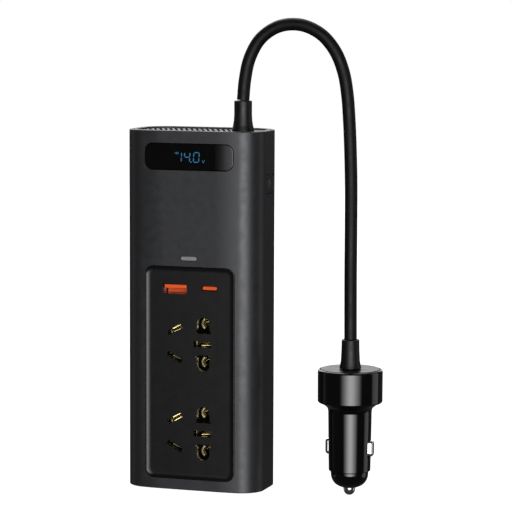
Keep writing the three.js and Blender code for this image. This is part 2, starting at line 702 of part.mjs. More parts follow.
const leadPoints = LEAD_ROUTE.map(([x, z]) => new THREE.Vector3(x, LEAD_Y, z));
addPiece('lead_strain_relief', makeLeadRelief(), RUBBER);
addPiece('power_lead', tube(leadPoints, LEAD_DIAMETER / 2, 10, 34), RUBBER);
addPiece('positive_wire', wire([
  [19.9, -3, 165.8], [18.6, -2, 161], [15.6, 2, 155], [14.6, 4.1, 150], [14.6, 4.1, 142],
]), RED_WIRE);
addPiece('negative_wire', wire([
  [23.4, -3, 165.8], [21.9, -2, 161], [19, 2, 156.5], [18.2, 4.1, 151], [18.2, 4.1, 142],
]), RUBBER);

// ---- Plug, in a frame of its own: its axis is Z and its centre pin's tip is at z = 0 ----

/** Housing: a wide collar that narrows through a hollow curve to the barrel. */
function makePlugHousing() {
  const shoulder = new THREE.QuadraticBezierCurve(
    new THREE.Vector2(10.6, 40.4), new THREE.Vector2(10.7, 43.6), new THREE.Vector2(15.2, 45.5),
  ).getPoints(5).map((point) => [point.x, point.y]);
  const body = turned([
    [8.6, 12.2], [10.1, 12.2], ...shoulder, [15.65, 46.3],
    ...arc(14.85, 60.2, 0.9, 1.5, 0, QUARTER, 3), [14.75, 61.7], [14.75, 58.9], [12.9, 58.9], [12.9, 49.7],
    [11.5, 49.7], [11.5, 45.8], [8.6, 43], [8.6, 12.2],
  ], 32);
  const slots = [-1, 1].map((side) => {
    const across = side < 0 ? [-13, -6] : [6, 13];
    const half = CONTACT_WIDTH / 2 + 0.35;
    return box(across, [-half, half], [CONTACT_LOW_Z - 0.4, CONTACT_HIGH_Z + 0.4]);
  });
  return body.subtract(union(slots));
}

/** Domed nose that screws into the barrel and holds the centre pin in. */
function makePlugNose() {
  return turned([
    [3.25, 3.7], ...arc(0, 8.7, 9, 5.3, -1.17, 0, 5), [9, 11.9], [8.2, 11.9], [8.2, 17],
    [5, 17], [5, 5.5], [3.25, 5.5], [3.25, 3.7],
  ], 24);
}

function makeCentrePin() {
  return turned([
    ...arc(0, 2.9, 2.9, 2.9, -QUARTER, 0, 5), [2.9, 5.8], [4.6, 5.8], [4.6, 7.2], [0, 7.2],
  ], 16);
}

function makePlugFuse() {
  return turned([
    [0, 7.5], [3.3, 7.5], [3.3, 13], [3, 13], [3, 32], [3.3, 32], [3.3, 37.5], [0, 37.5],
  ], 14);
}

function makePinSpring() {
  const turns = 4;
  const stepsPerTurn = 9;
  const points = Array.from({ length: turns * stepsPerTurn + 1 }, (unused, step) => {
    const angle = step * 2 * Math.PI / stepsPerTurn;
    const z = 38.4 + 10.5 * step / (turns * stepsPerTurn);
    return new THREE.Vector3(3 * Math.cos(angle), 3 * Math.sin(angle), z);
  });
  return tube(points, 0.45, 6, turns * stepsPerTurn);
}

/** Sprung side contact: a rounded block that stands out of its slot, with a lip that keeps it in. */
function makeSideContact(side) {
  const lip = 7.9;
  const corner = 0.95;
  const outline = new THREE.Shape();
  outline.moveTo(7, CONTACT_LOW_Z - 1);
  outline.lineTo(lip, CONTACT_LOW_Z - 1);
  outline.lineTo(lip, CONTACT_LOW_Z);
  outline.absarc(CONTACT_OUTER - corner, CONTACT_LOW_Z + corner, corner, -QUARTER, 0);
  outline.absarc(CONTACT_OUTER - corner, CONTACT_HIGH_Z - corner, corner, 0, QUARTER);
  outline.lineTo(lip, CONTACT_HIGH_Z);
  outline.lineTo(lip, CONTACT_HIGH_Z + 1);
  outline.lineTo(7, CONTACT_HIGH_Z + 1);
  outline.closePath();
  const block = facing(outline, -CONTACT_WIDTH / 2, CONTACT_WIDTH / 2);
  return side < 0 ? block.rotate([0, 0, 180]) : block;
}

function makePlugCap() {
  return turned([[4, 59.2], [14.4, 59.2], [14.4, 61.6], [14, 62], [4, 62], [4, 59.2]], 32);
}

function makePlugRelief() {
  return turned([
    [0, 57], [5.5, 57], [5.5, 58.9], [3.6, 58.9], [3.6, 62.3], [5.4, 62.3], [5.05, 63.4],
    [4.72, 65], [4.5, 68], [4.38, 71], [4.28, 75.8], [3.9, 76.2], [0, 76.2],
  ], 16);
}

addPiece('plug_housing', makePlugHousing(), GLOSS_BLACK, plug);
addPiece('plug_cap', makePlugCap(), GLOSS_BLACK, plug);
addPiece('plug_strain_relief', makePlugRelief(), RUBBER, plug);
addPiece('plug_nose', makePlugNose(), GLOSS_BLACK, plug);
addPiece('centre_pin', makeCentrePin(), STEEL, plug);
addPiece('plug_fuse', makePlugFuse(), GLASS, plug);
addPiece('pin_spring', makePinSpring(), STEEL, plug);
addPiece('plug_board', post(12.5, 0, 0, 50, 51.6, 24), BOARD_GREEN, plug);
addPiece('left_side_contact', makeSideContact(-1), STEEL, plug);
addPiece('right_side_contact', makeSideContact(1), STEEL, plug);

export default inverter;
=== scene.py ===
import math

import bmesh
import bpy
from mathutils import Matrix, Vector


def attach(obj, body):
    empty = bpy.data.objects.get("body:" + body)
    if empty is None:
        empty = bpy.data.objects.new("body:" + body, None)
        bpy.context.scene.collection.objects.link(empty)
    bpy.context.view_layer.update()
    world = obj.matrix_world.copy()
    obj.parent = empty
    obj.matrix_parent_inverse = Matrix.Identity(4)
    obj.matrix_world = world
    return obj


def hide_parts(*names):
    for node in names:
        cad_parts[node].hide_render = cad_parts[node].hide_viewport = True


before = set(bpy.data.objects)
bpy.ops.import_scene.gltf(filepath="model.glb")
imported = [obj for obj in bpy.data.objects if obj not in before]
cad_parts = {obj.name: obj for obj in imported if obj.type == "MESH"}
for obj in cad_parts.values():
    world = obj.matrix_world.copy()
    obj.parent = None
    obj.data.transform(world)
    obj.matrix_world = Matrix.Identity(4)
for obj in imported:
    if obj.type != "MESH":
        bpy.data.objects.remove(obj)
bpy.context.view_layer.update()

# Lengths are in millimetres in the functions below, and in metres in the scene.
MM = 0.001
BODY = "inverter"

# ------------------------ sizes, as in the CAD model
WIDTH, DEPTH, HEIGHT = 69.5, 38.9, 176.0
FRONT_RADIUS, BACK_RADIUS = 12.0, 14.6
WALL, GAP = 1.8, 0.3
FRONT_Y = -DEPTH / 2
FLANGE_Y = FRONT_Y + WALL + GAP
PORT_INSET, PORT_RADIUS, PORT_BORE = 4.8, 2.9, 1.65
CAP_THICKNESS, CAP_BORDER, CAP_RECESS = 2.6, 3.8, 0.8
VENT_PITCH, VENT_WIDTH, VENT_SLANT = 2.75, 1.35, 0.41
TOP_VENT_X, TOP_VENTS, BASE_VENTS = -30, 17, 14
DISPLAY_X, DISPLAY_Z, DISPLAY_W, DISPLAY_H, DISPLAY_R = -0.4, 163.45, 45.2, 12.6, 3.9
LIGHT_X, LIGHT_Z, LIGHT_W, LIGHT_H = -0.4, 114.1, 8.2, 2.0
PANEL_Z, PANEL_W, PANEL_H, PANEL_R = 57.75, 45.8, 104.2, 4.2
FLOOR_Y, PANEL_BACK_Y = -18.2, -16.0
BUTTON_Y, BUTTON_Z, BUTTON_W, BUTTON_H, BUTTON_R = -0.5, 150.05, 12.6, 9.3, 1.5
LEAD_X, LEAD_Y, LEAD_DIAMETER = 21.8, -3.0, 6.1
PLUG_X, PLUG_TURN = 76.9, math.radians(-2)
CLIP_Z, CLIP_FACE = 23.55, 12.15

# Sockets: their middles, and from there the places of the slanted slots, the pin holes and the earth slot
SOCKETS = {"upper": 72.2, "lower": 28.2}
SLANT_X, SLANT_Z, SLANT_ANGLE, SLANT_SIZE = -7.97, 6.9, math.pi / 6, (8.4, 2.2)
PIN_X, PIN_Z, PIN_HOLE_R, PIN_HOLE_BASE, PIN_HOLE_TOP = 6.83, 9.5, 3.3, 5.3, 13.25
BLADE_W, BLADE_H = 7.8, 1.4
EARTH_X, EARTH_SIZE = 6.28, (9.2, 2.9)
BRIDGE_Y, CONTACT_BACK_Y = 1.4, 2.0

# USB ports: centre, outer size and wall of each shell, and where each tongue starts
USB_A, USB_A_SIZE, USB_A_WALL, TONGUE_A_Y = (-7.87, 98.95), (13.1, 5.75), 0.35, -17.2
USB_C, USB_C_SIZE, USB_C_WALL, TONGUE_C_Y = (9.83, 99.75), (8.94, 3.26), 0.3, -17.4

# The sleeve's front is flat to CROWN_START from its middle, then curves back and meets a corner arc
CROWN_START, CORNER, CROWN = 13.0, 11.4, 0.01046
LEAD_ROUTE = [
    (21.8, 190.7), (22.7, 200.5), (25.1, 211.0), (30.7, 220.5), (39.9, 226.4), (50.8, 227.2),
    (60.9, 222.9), (68.1, 214.9), (72.4, 204.8), (74.4, 193.9), (75.4, 182.0), (76.1, 168.0),
    (76.6, 151.0), (76.7, 131.0), (76.7, 105.1), (76.9, 76.5),
]

# ------------------------ studio
AMBIENT, FLOOR_GLOW = 0.045, 1.0
SOFT = [(0.0, 0.0), (0.11, 0.04), (0.31, 0.42), (0.5, 1.0), (0.69, 0.42), (0.88, 0.1), (0.93, 0.04),
        (1.0, 0.0)]
FLAT = [(0.0, 0.2), (0.12, 1.0), (0.5, 1.0), (0.88, 1.0), (1.0, 0.2)]
AIM = Vector((0.035, 0.0, 0.10))
# name, azimuth, elevation, distance, (width, height), radiance, brightness across
LIGHTS = [
    ("key", 20, 2.5, 1.7, (2.8, 1.45), 7.6, SOFT),
    ("rim_right", 116, 4, 1.5, (0.9, 1.6), 0.6, FLAT),
    ("rim_left", -92, 4, 1.5, (0.5, 1.6), 0.3, FLAT),
    ("overhead", 200, 62, 1.6, (1.6, 1.2), 1.7, FLAT),
    ("back_fill", 218, 38, 1.9, (1.6, 1.3), 2.2, FLAT),
    ("behind", 198, 17, 1.8, (2.4, 0.95), 1.2, FLAT),
]

# ------------------------ camera
scene = bpy.context.scene
AZIMUTH, PITCH, ROLL = math.radians(18.30), math.radians(6.195), math.radians(0.2187)
back = Vector((math.sin(AZIMUTH) * math.cos(PITCH), -math.cos(AZIMUTH) * math.cos(PITCH), math.sin(PITCH)))
right = Vector((math.cos(AZIMUTH), math.sin(AZIMUTH), 0))
up = back.cross(right)
camera_right = math.cos(ROLL) * right + math.sin(ROLL) * up
camera_up = math.cos(ROLL) * up - math.sin(ROLL) * right
camera = bpy.data.objects.new("camera", bpy.data.cameras.new("camera"))
camera.matrix_world = Matrix.Translation(Vector((410.0, -1156.06, 246.68)) * MM) @ Matrix(
    (camera_right, camera_up, back)).transposed().to_4x4()
camera.data.lens = 176.31
camera.data.sensor_width = 36
camera.data.clip_start, camera.data.clip_end = 0.05, 20
scene.collection.objects.link(camera)
scene.camera = camera


# ------------------------ materials
class Look:
    """A principled material under construction, with short calls for the nodes it needs."""

    def __init__(self, name, **sockets):
        self.material = bpy.data.materials.new(name)
        self.material.use_nodes = True
        self.nodes = self.material.node_tree.nodes
        self.links = self.material.node_tree.links
        self.shader = self.nodes["Principled BSDF"]
        self.point = self.nodes.new("ShaderNodeTexCoord").outputs["Object"]
        for socket, value in sockets.items():
            self.shader.inputs[socket.replace("_", " ")].default_value = value

    def noise(self, scale, detail=3.0, stretch=None):
        node = self.nodes.new("ShaderNodeTexNoise")
        node.inputs["Scale"].default_value = scale
        node.inputs["Detail"].default_value = detail
        if stretch:
            mapping = self.nodes.new("ShaderNodeMapping")
            mapping.inputs["Scale"].default_value = stretch
            self.links.new(self.point, mapping.inputs["Vector"])
            self.links.new(mapping.outputs["Vector"], node.inputs["Vector"])
        else:
            self.links.new(self.point, node.inputs["Vector"])
        return node.outputs["Fac"]

    def wave(self, scale, direction="Z", distortion=0.0):
        node = self.nodes.new("ShaderNodeTexWave")
        node.bands_direction = direction
        node.inputs["Scale"].default_value = scale
        node.inputs["Distortion"].default_value = distortion
        self.links.new(self.point, node.inputs["Vector"])
        return node.outputs["Fac"]

    def cells(self, scale):
        node = self.nodes.new("ShaderNodeTexVoronoi")
        node.inputs["Scale"].default_value = scale
        self.links.new(self.point, node.inputs["Vector"])
        return node.outputs["Distance"]

    def ramp(self, source, low, high, start=0.35, end=0.65):
        node = self.nodes.new("ShaderNodeMapRange")
        node.inputs["From Min"].default_value = start
        node.inputs["From Max"].default_value = end
        node.inputs["To Min"].default_value = low
        node.inputs["To Max"].default_value = high
        self.links.new(source, node.inputs["Value"])
        return node.outputs["Result"]

    def colours(self, source, low, high, start=0.35, end=0.65):
        node = self.nodes.new("ShaderNodeValToRGB")
        node.color_ramp.elements[0].position, node.color_ramp.elements[1].position = start, end
        node.color_ramp.elements[0].color = (*low, 1)
        node.color_ramp.elements[1].color = (*high, 1)
        self.links.new(source, node.inputs["Fac"])
        self.links.new(node.outputs["Color"], self.shader.inputs["Base Color"])
        return node.outputs["Color"]

    def rough(self, source, low, high, start=0.35, end=0.65):
        self.links.new(self.ramp(source, low, high, start, end), self.shader.inputs["Roughness"])

    def bump(self, source, distance, strength=1.0):
        node = self.nodes.new("ShaderNodeBump")
        node.inputs["Strength"].default_value = strength
        node.inputs["Distance"].default_value = distance * MM
        self.links.new(source, node.inputs["Height"])
        previous = self.shader.inputs["Normal"]
        if previous.is_linked:
            self.links.new(previous.links[0].from_socket, node.inputs["Normal"])
        self.links.new(node.outputs["Normal"], previous)


def make_plastic(name, low, high, roughness, grain=2200, depth=0.012, specular=0.5, spread=0.05):
    """Moulded plastic with a fine spark-eroded grain and slight unevenness in its colour and gloss."""
    look = Look(name, IOR=1.46, Specular_IOR_Level=specular)
    look.colours(look.noise(45, 4), low, high)
    look.rough(look.noise(160, 4), roughness - spread, roughness + spread)
    look.bump(look.noise(grain, 2), depth)
    return look.material


def make_gloss(name, low, high, roughness=0.08, coat=0.0):
    """Polished moulding: faint ripples left by the tool, and fine rub marks that vary its gloss."""
    look = Look(name, IOR=1.5, Coat_Weight=coat, Coat_Roughness=0.05)
    look.colours(look.noise(60, 3), low, high)
    look.rough(look.noise(240, 6, (1, 1, 0.35)), roughness, roughness + 0.07, 0.4, 0.75)
    look.bump(look.noise(110, 1), 0.006, 0.5)
    return look.material


def make_metal(name, low, high, roughness, grain=None, depth=0.004, metallic=1.0):
    """Metal with a drawn or turned grain, given as how much the noise is stretched along each axis."""
    look = Look(name, Metallic=metallic)
    look.colours(look.noise(90, 4), low, high)
    look.rough(look.noise(350, 4, grain), max(0.03, roughness - 0.06), roughness + 0.08)
    look.bump(look.noise(1500, 2, grain), depth, 0.6)
    return look.material


def make_board():
    """Lacquered circuit board: lighter tracks under the lacquer."""
    look = Look("board", Roughness=0.3, IOR=1.5, Coat_Weight=0.4, Coat_Roughness=0.15)
    look.colours(look.cells(330), (0.012, 0.07, 0.03), (0.02, 0.16, 0.06), 0.25, 0.4)
    look.bump(look.cells(330), 0.03)
    return look.material


def make_winding():
    """Enamelled copper wire wound close: fine bands along the length."""
    look = Look("winding", Metallic=0.7, Roughness=0.35)
    look.colours(look.noise(220, 3), (0.28, 0.09, 0.03), (0.5, 0.19, 0.07))
    look.bump(look.wave(520, "Z", 0.4), 0.12)
    return look.material


def make_ceramic(name, low, high):
    look = Look(name, IOR=1.5)
    look.colours(look.noise(300, 5), low, high)
    look.rough(look.noise(700, 4), 0.55, 0.75)
    look.bump(look.noise(900, 4), 0.03)
    return look.material


def make_glow(name, low, high, strength):
    """Lit display segment, a little uneven as the light behind it spreads."""
    look = Look(name, Roughness=0.4)
    look.colours(look.noise(900, 2), low, high, 0.3, 0.7)
    node = look.shader.inputs["Base Color"].links[0].from_socket
    look.links.new(node, look.shader.inputs["Emission Color"])
    look.shader.inputs["Emission Strength"].default_value = strength
    return look.material


def make_shell():
    """Bead-blasted, anodised aluminium: satin metal with a fine grain and faint lines along its length."""
    look = Look("shell_anodised", Metallic=0.7, IOR=1.5)
    look.colours(look.noise(28, 5), (0.0415, 0.0423, 0.0455), (0.046, 0.0468, 0.050))
    look.rough(look.noise(300, 5), 0.36, 0.44)
    look.bump(look.noise(1900, 3), 0.010, 0.7)
    look.bump(look.noise(420, 2, (1, 1, 0.01)), 0.003, 0.5)
    return look.material


def make_rubber(name, low, high, roughness=0.5, specular=0.5):
    """Soft moulding: a coarse grain over slow unevenness."""
    look = Look(name, IOR=1.45, Specular_IOR_Level=specular)
    look.colours(look.noise(70, 5), low, high)
    look.rough(look.noise(260, 4), roughness - 0.06, roughness + 0.07)
    look.bump(look.noise(1300, 4), 0.02, 0.6)
    look.bump(look.noise(120, 2), 0.03, 0.4)
    return look.material


LOOKS = {
    "shell": make_shell(),
    "cap": make_plastic("cap_plastic", (0.05, 0.05, 0.052), (0.06, 0.06, 0.062), 0.5),
    "panel": make_plastic("panel_plastic", (0.0040, 0.0040, 0.0047), (0.0044, 0.0044, 0.0052), 0.27,
                          grain=1500, depth=0.008, spread=0.012),
    "dark": make_plastic("dark_plastic", (0.006, 0.006, 0.006), (0.009, 0.009, 0.009), 0.6),
    "carrier": make_plastic("carrier_plastic", (0.002, 0.002, 0.002), (0.003, 0.003, 0.003), 0.7,
                            specular=0.2),
    "button": make_plastic("button_plastic", (0.008, 0.008, 0.008), (0.011, 0.011, 0.011), 0.42),
    "mark": make_plastic("mark_ink", (0.07, 0.07, 0.07), (0.09, 0.09, 0.09), 0.5, 1600, 0.004),
    "gloss": make_gloss("plug_gloss", (0.0005, 0.0005, 0.0005), (0.0008, 0.0008, 0.0009), 0.07, 0.35),
    "disc": make_plastic("disc_satin", (0.0006, 0.0006, 0.0006), (0.001, 0.001, 0.001), 0.3,
                         1800, 0.004, specular=0.3),
    "lens": make_gloss("display_lens", (0.0006, 0.0006, 0.0007), (0.001, 0.001, 0.0012), 0.03, 0.3),
    "light": make_plastic("light_pipe", (0.18, 0.18, 0.18), (0.22, 0.22, 0.22), 0.35, 1200, 0.006),
    "cord": make_rubber("cord_rubber", (0.0022, 0.0022, 0.0022), (0.0032, 0.0032, 0.0033), 0.47, 0.24),
    "relief": make_rubber("relief_rubber", (0.003, 0.003, 0.003), (0.0045, 0.0045, 0.0045), 0.42, 0.38),
    "brass": make_metal("contact_brass", (0.70, 0.58, 0.26), (0.84, 0.70, 0.34), 0.24, (1, 0.05, 1),
                        metallic=0.85),
    "gold": make_metal("pad_gold", (0.80, 0.56, 0.24), (0.92, 0.68, 0.34), 0.25),
    "chrome": make_metal("bright_plate", (0.62, 0.62, 0.63), (0.72, 0.72, 0.73), 0.13, (1, 1, 0.1)),
    "steel": make_metal("drawn_steel", (0.42, 0.42, 0.43), (0.54, 0.54, 0.55), 0.3, (1, 0.06, 1)),
    "zinc": make_metal("screw_zinc", (0.30, 0.30, 0.31), (0.42, 0.42, 0.43), 0.35),
    "milled": make_metal("milled_aluminium", (0.5, 0.5, 0.52), (0.62, 0.62, 0.64), 0.33, (0.05, 1, 1)),
    "orange": make_plastic("port_orange", (0.62, 0.075, 0.008), (0.74, 0.092, 0.011), 0.38, 1600, 0.006),
    "clip": make_metal("clip_plate", (0.80, 0.80, 0.81), (0.90, 0.90, 0.91), 0.15, (1, 1, 0.1), 0.003),
    "board": make_board(),
    "winding": make_winding(),
    "ferrite": make_ceramic("ferrite", (0.025, 0.025, 0.028), (0.05, 0.05, 0.055)),
    "sleeve": make_gloss("capacitor_sleeve", (0.008, 0.016, 0.08), (0.014, 0.026, 0.12), 0.25),
    "red": make_rubber("wire_red", (0.38, 0.012, 0.01), (0.46, 0.02, 0.014), 0.35),
    "glass": make_gloss("fuse_glass", (0.55, 0.60, 0.60), (0.68, 0.72, 0.72), 0.1),
    "glow": make_glow("segment_glow", (0.004, 0.055, 0.115), (0.007, 0.085, 0.165), 0.9),
}


# ------------------------ outlines in two dimensions
def arc(cx, cy, radius, start, end, steps):
    """Points of an arc from start to end, both included."""
    return [(cx + radius * math.cos(start + (end - start) * i / steps),
             cy + radius * math.sin(start + (end - start) * i / steps)) for i in range(steps + 1)]


def rounded_rect(width, height, radius, cx=0.0, cy=0.0, steps=8, inset=0.0):
    """Anticlockwise, always with 4 * (steps + 1) points, so that insets of one rectangle join up."""
    w, h = width / 2 - inset, height / 2 - inset
    r = max(radius - inset, 0.02)
    points = []
    for sx, sy, start in ((1, -1, -90), (1, 1, 0), (-1, 1, 90), (-1, -1, 180)):
        points += arc(cx + sx * (w - r), cy + sy * (h - r), r, math.radians(start), math.radians(start + 90),
                      steps)
    return points


def crown(x):
    """How far the front face has curved back at x, before it turns into the corner."""
    return CROWN / 2 * max(0.0, abs(x) - CROWN_START) ** 2


def body_outline(inset, steps=22):
    """The sleeve's section, drawn in by inset. Its front is flat in the middle and eases into the corners."""
    centre_x = WIDTH / 2 - CORNER
    start = math.radians(7)
    join_x = centre_x + CORNER * math.sin(start)
    join_y = FRONT_Y + crown(join_x)
    centre_y = join_y + CORNER * math.cos(start)
    half = []
    for i in range(10):
        x = CROWN_START + (join_x - CROWN_START) * i / 10
        slope = math.atan(CROWN * (x - CROWN_START))
        half.append((x - inset * math.sin(slope), FRONT_Y + crown(x) + inset * math.cos(slope)))
    half += arc(centre_x, centre_y, CORNER - inset, start - math.pi / 2, 0, steps)
    cx, cy = WIDTH / 2 - BACK_RADIUS, DEPTH / 2 - BACK_RADIUS
    half += arc(cx, cy, max(BACK_RADIUS - inset, 0.02), 0, math.pi / 2, steps)
    return half + [(-x, y) for x, y in reversed(half)]


def filleted(points, steps=5, closed=True):
    """Polyline through (x, y, radius) corners, with each corner rounded to its radius."""
    out = []
    count = len(points)
    for i, (x, y, radius) in enumerate(points):
        if radius <= 0 or (not closed and i in (0, count - 1)):
            out.append((x, y))
            continue
        here = Vector((x, y))
        a = Vector(points[i - 1][:2]) - here
        b = Vector(points[(i + 1) % count][:2]) - here
        half = a.angle(b) / 2
        reach = min(radius / math.tan(half), 0.49 * a.length, 0.49 * b.length)
        radius = reach * math.tan(half)
        centre = here + (a.normalized() + b.normalized()).normalized() * (radius / math.sin(half))
        first, last = here + a.normalized() * reach - centre, here + b.normalized() * reach - centre
        turn = math.atan2(first.x * last.y - first.y * last.x, first.dot(last))
        start = math.atan2(first.y, first.x)
        out += arc(centre.x, centre.y, radius, start, start + turn, steps)
    return out


def slanted_rect(length, height, x, z, angle, radius=0.3, steps=3):
    """Rounded rectangle turned by angle about its own centre."""
    cos, sin = math.cos(angle), math.sin(angle)
    return [(x + px * cos - py * sin, z + px * sin + py * cos)
            for px, py in rounded_rect(length, height, radius, steps=steps)]


# ------------------------ meshes
def make_object(name, verts, faces, look=None):
    mesh = bpy.data.meshes.new(name)
    mesh.from_pydata([tuple(c * MM for c in v) for v in verts], [], faces)
    mesh.update()
    made = bpy.data.objects.new(name, mesh)
    scene.collection.objects.link(made)
    work = bmesh.new()
    work.from_mesh(mesh)
    bmesh.ops.remove_doubles(work, verts=work.verts, dist=1e-8)
    bmesh.ops.recalc_face_normals(work, faces=work.faces)
    work.to_mesh(mesh)
    work.free()
    if look:
        mesh.materials.append(LOOKS[look])
    return made


def loft(name, rings, look=None, closed=False):
    """Skin over rings of points of equal count. It is capped at its ends, or joined end to start."""
    count = len(rings[0])
    verts = [v for ring in rings for v in ring]
    faces = []
    pairs = len(rings) if closed else len(rings) - 1
    for r in range(pairs):
        a, b = r * count, (r + 1) % len(rings) * count
        faces += [(a + i, a + (i + 1) % count, b + (i + 1) % count, b + i) for i in range(count)]
    if not closed:
        faces += [tuple(reversed(range(count))), tuple(range(len(verts) - count, len(verts)))]
    return make_object(name, verts, faces, look)


def prism(name, outline, axis, low, high, look=None):
    """A 2-D outline carried along an axis. It is drawn in XY for z, XZ for y and YZ for x."""
    order = {"z": (0, 1, 2), "y": (0, 2, 1), "x": (2, 0, 1)}[axis]
    rings = [[tuple((a, b, c)[i] for i in order) for a, b in outline] for c in (low, high)]
    return loft(name, rings, look)


def lathe(name, profile, look=None, at=(0.0, 0.0), segments=96, closed=False):
    """Solid of revolution about an upright axis through at. Points on the axis close it."""
    verts, faces, rings = [], [], []
    for radius, z in profile:
        if radius < 1e-6:
            rings.append([len(verts)] * segments)
            verts.append((at[0], at[1], z))
        else:
            rings.append(list(range(len(verts), len(verts) + segments)))
            verts += [(at[0] + radius * math.cos(math.tau * i / segments),
                       at[1] + radius * math.sin(math.tau * i / segments), z) for i in range(segments)]
    for k in range(len(rings) if closed else len(rings) - 1):
        a, b = rings[k], rings[(k + 1) % len(rings)]
        for i in range(segments):
            j = (i + 1) % segments
            quad = [a[i], a[j], b[j], b[i]]
            face = [v for n, v in enumerate(quad) if v not in quad[:n]]
            if len(face) > 2:
                faces.append(tuple(face))
    return make_object(name, verts, faces, look)


def boolean(target, cutter, operation="DIFFERENCE"):
    """Cuts target by cutter, or keeps what they share, and removes the cutter."""
    modifier = target.modifiers.new("cut", "BOOLEAN")
    modifier.operation, modifier.object, modifier.solver = operation, cutter, "EXACT"
    bpy.context.view_layer.update()
    evaluated = target.evaluated_get(bpy.context.evaluated_depsgraph_get())
    mesh = bpy.data.meshes.new_from_object(evaluated)
    target.modifiers.clear()
    old, target.data = target.data, mesh
    mesh.name = target.name
    bpy.data.meshes.remove(old)
    bpy.data.objects.remove(cutter)


def merged(name, parts, look=None):
    """One object from separate ones that don't touch."""
    work = bmesh.new()
    for part in parts:
        work.from_mesh(part.data)
        bpy.data.objects.remove(part)
    mesh = bpy.data.meshes.new(name)
    work.to_mesh(mesh)
    work.free()
    made = bpy.data.objects.new(name, mesh)
    scene.collection.objects.link(made)
    if look:
        mesh.materials.append(LOOKS[look])
    return made


def smooth(piece, bevel=0.0, segments=2, angle=40.0):
    """Rounds the sharp edges and gives clean normals, so that flat faces stay flat and curves stay smooth."""
    for face in piece.data.polygons:
        face.use_smooth = True
    if bevel:
        modifier = piece.modifiers.new("edges", "BEVEL")
        modifier.width, modifier.segments = bevel * MM, segments
        modifier.limit_method, modifier.angle_limit = "ANGLE", math.radians(angle)
        modifier.miter_outer = "MITER_ARC"
        modifier.use_clamp_overlap = True
    else:
        piece.data.set_sharp_from_angle(angle=math.radians(angle))
    weights = piece.modifiers.new("normals", "WEIGHTED_NORMAL")
    weights.mode, weights.weight, weights.keep_sharp = "FACE_AREA", 50, True
    return piece


def follow_crown(piece, behind=-16.6, blend=0.01):
    """Bends the part in front of y = behind to the sleeve's face, growing to the full bend over blend."""
    work = bmesh.new()
    work.from_mesh(piece.data)
    for side in (-1, 1):
        for i in range(11):
            geometry = work.verts[:] + work.edges[:] + work.faces[:]
            bmesh.ops.bisect_plane(work, geom=geometry, plane_co=(side * (CROWN_START + i) * MM, 0, 0),
                                   plane_no=(1, 0, 0))
    for vert in work.verts:
        if vert.co.y < behind * MM:
            vert.co.y += crown(vert.co.x / MM) * MM * min(1.0, (behind - vert.co.y / MM) / blend)
    work.to_mesh(piece.data)
    work.free()
    return piece


def finish_piece(piece, node=None, body=BODY):
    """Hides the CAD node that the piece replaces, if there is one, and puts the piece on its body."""
    if node:
        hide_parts(node)
    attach(piece, body)
    return piece


def plug_place(piece):
    """Moves a piece made about the Z axis to the plug's own axis and turn."""
    turn = Matrix.Rotation(PLUG_TURN, 4, "Z")
    piece.data.transform(Matrix.Translation((PLUG_X * MM, LEAD_Y * MM, 0)) @ turn)
    return piece


# ------------------------ cord
def route_points(points, steps):
    """Centripetal Catmull-Rom curve through the points, evenly sampled between them."""
    knots = [Vector((x, LEAD_Y, z)) for x, z in points]
    knots = [2 * knots[0] - knots[1]] + knots + [2 * knots[-1] - knots[-2]]
    out = []
    for k in range(1, len(knots) - 2):
        a, b, c, d = knots[k - 1:k + 3]
        t0 = 0.0
        t1 = t0 + math.sqrt((b - a).length)
        t2 = t1 + math.sqrt((c - b).length)
        t3 = t2 + math.sqrt((d - c).length)
        for i in range(steps):
            t = t1 + (t2 - t1) * i / steps
            ab = (t1 - t) / (t1 - t0) * a + (t - t0) / (t1 - t0) * b
            bc = (t2 - t) / (t2 - t1) * b + (t - t1) / (t2 - t1) * c
            cd = (t3 - t) / (t3 - t2) * c + (t - t2) / (t3 - t2) * d
            abc = (t2 - t) / (t2 - t0) * ab + (t - t0) / (t2 - t0) * bc
            bcd = (t3 - t) / (t3 - t1) * bc + (t - t1) / (t3 - t1) * cd
            out.append((t2 - t) / (t2 - t1) * abc + (t - t1) / (t2 - t1) * bcd)
    return out + [knots[-2]]


lead_curve = bpy.data.curves.new("power_cord", "CURVE")
lead_curve.dimensions = "3D"
lead_curve.bevel_depth = LEAD_DIAMETER / 2 * MM
lead_curve.bevel_resolution = 8
lead_curve.use_fill_caps = True
lead_points = route_points(LEAD_ROUTE, 9)
spline = lead_curve.splines.new("POLY")
spline.points.add(len(lead_points) - 1)
for point, place in zip(spline.points, lead_points):
    point.co = (*(place * MM), 1)
spline.use_smooth = True
lead_curve.materials.append(LOOKS["cord"])
power_cord = bpy.data.objects.new("power_cord", lead_curve)
scene.collection.objects.link(power_cord)
finish_piece(power_cord, "power_lead")


# ------------------------ sleeve
def lip(z_end, sign, steps=4, r=0.45):
    """Round lip where the sleeve's wall ends, as (inset, z), from the outside to the inside."""
    outer = [(r - r * math.cos(t), z_end - sign * (r - r * math.sin(t)))
             for t in [math.pi / 2 * i / steps for i in range(steps + 1)]]
    inner = [(WALL - r + r * math.sin(t), z_end - sign * (r - r * math.cos(t)))
             for t in [math.pi / 2 * i / steps for i in range(steps + 1)]]
    return outer + inner


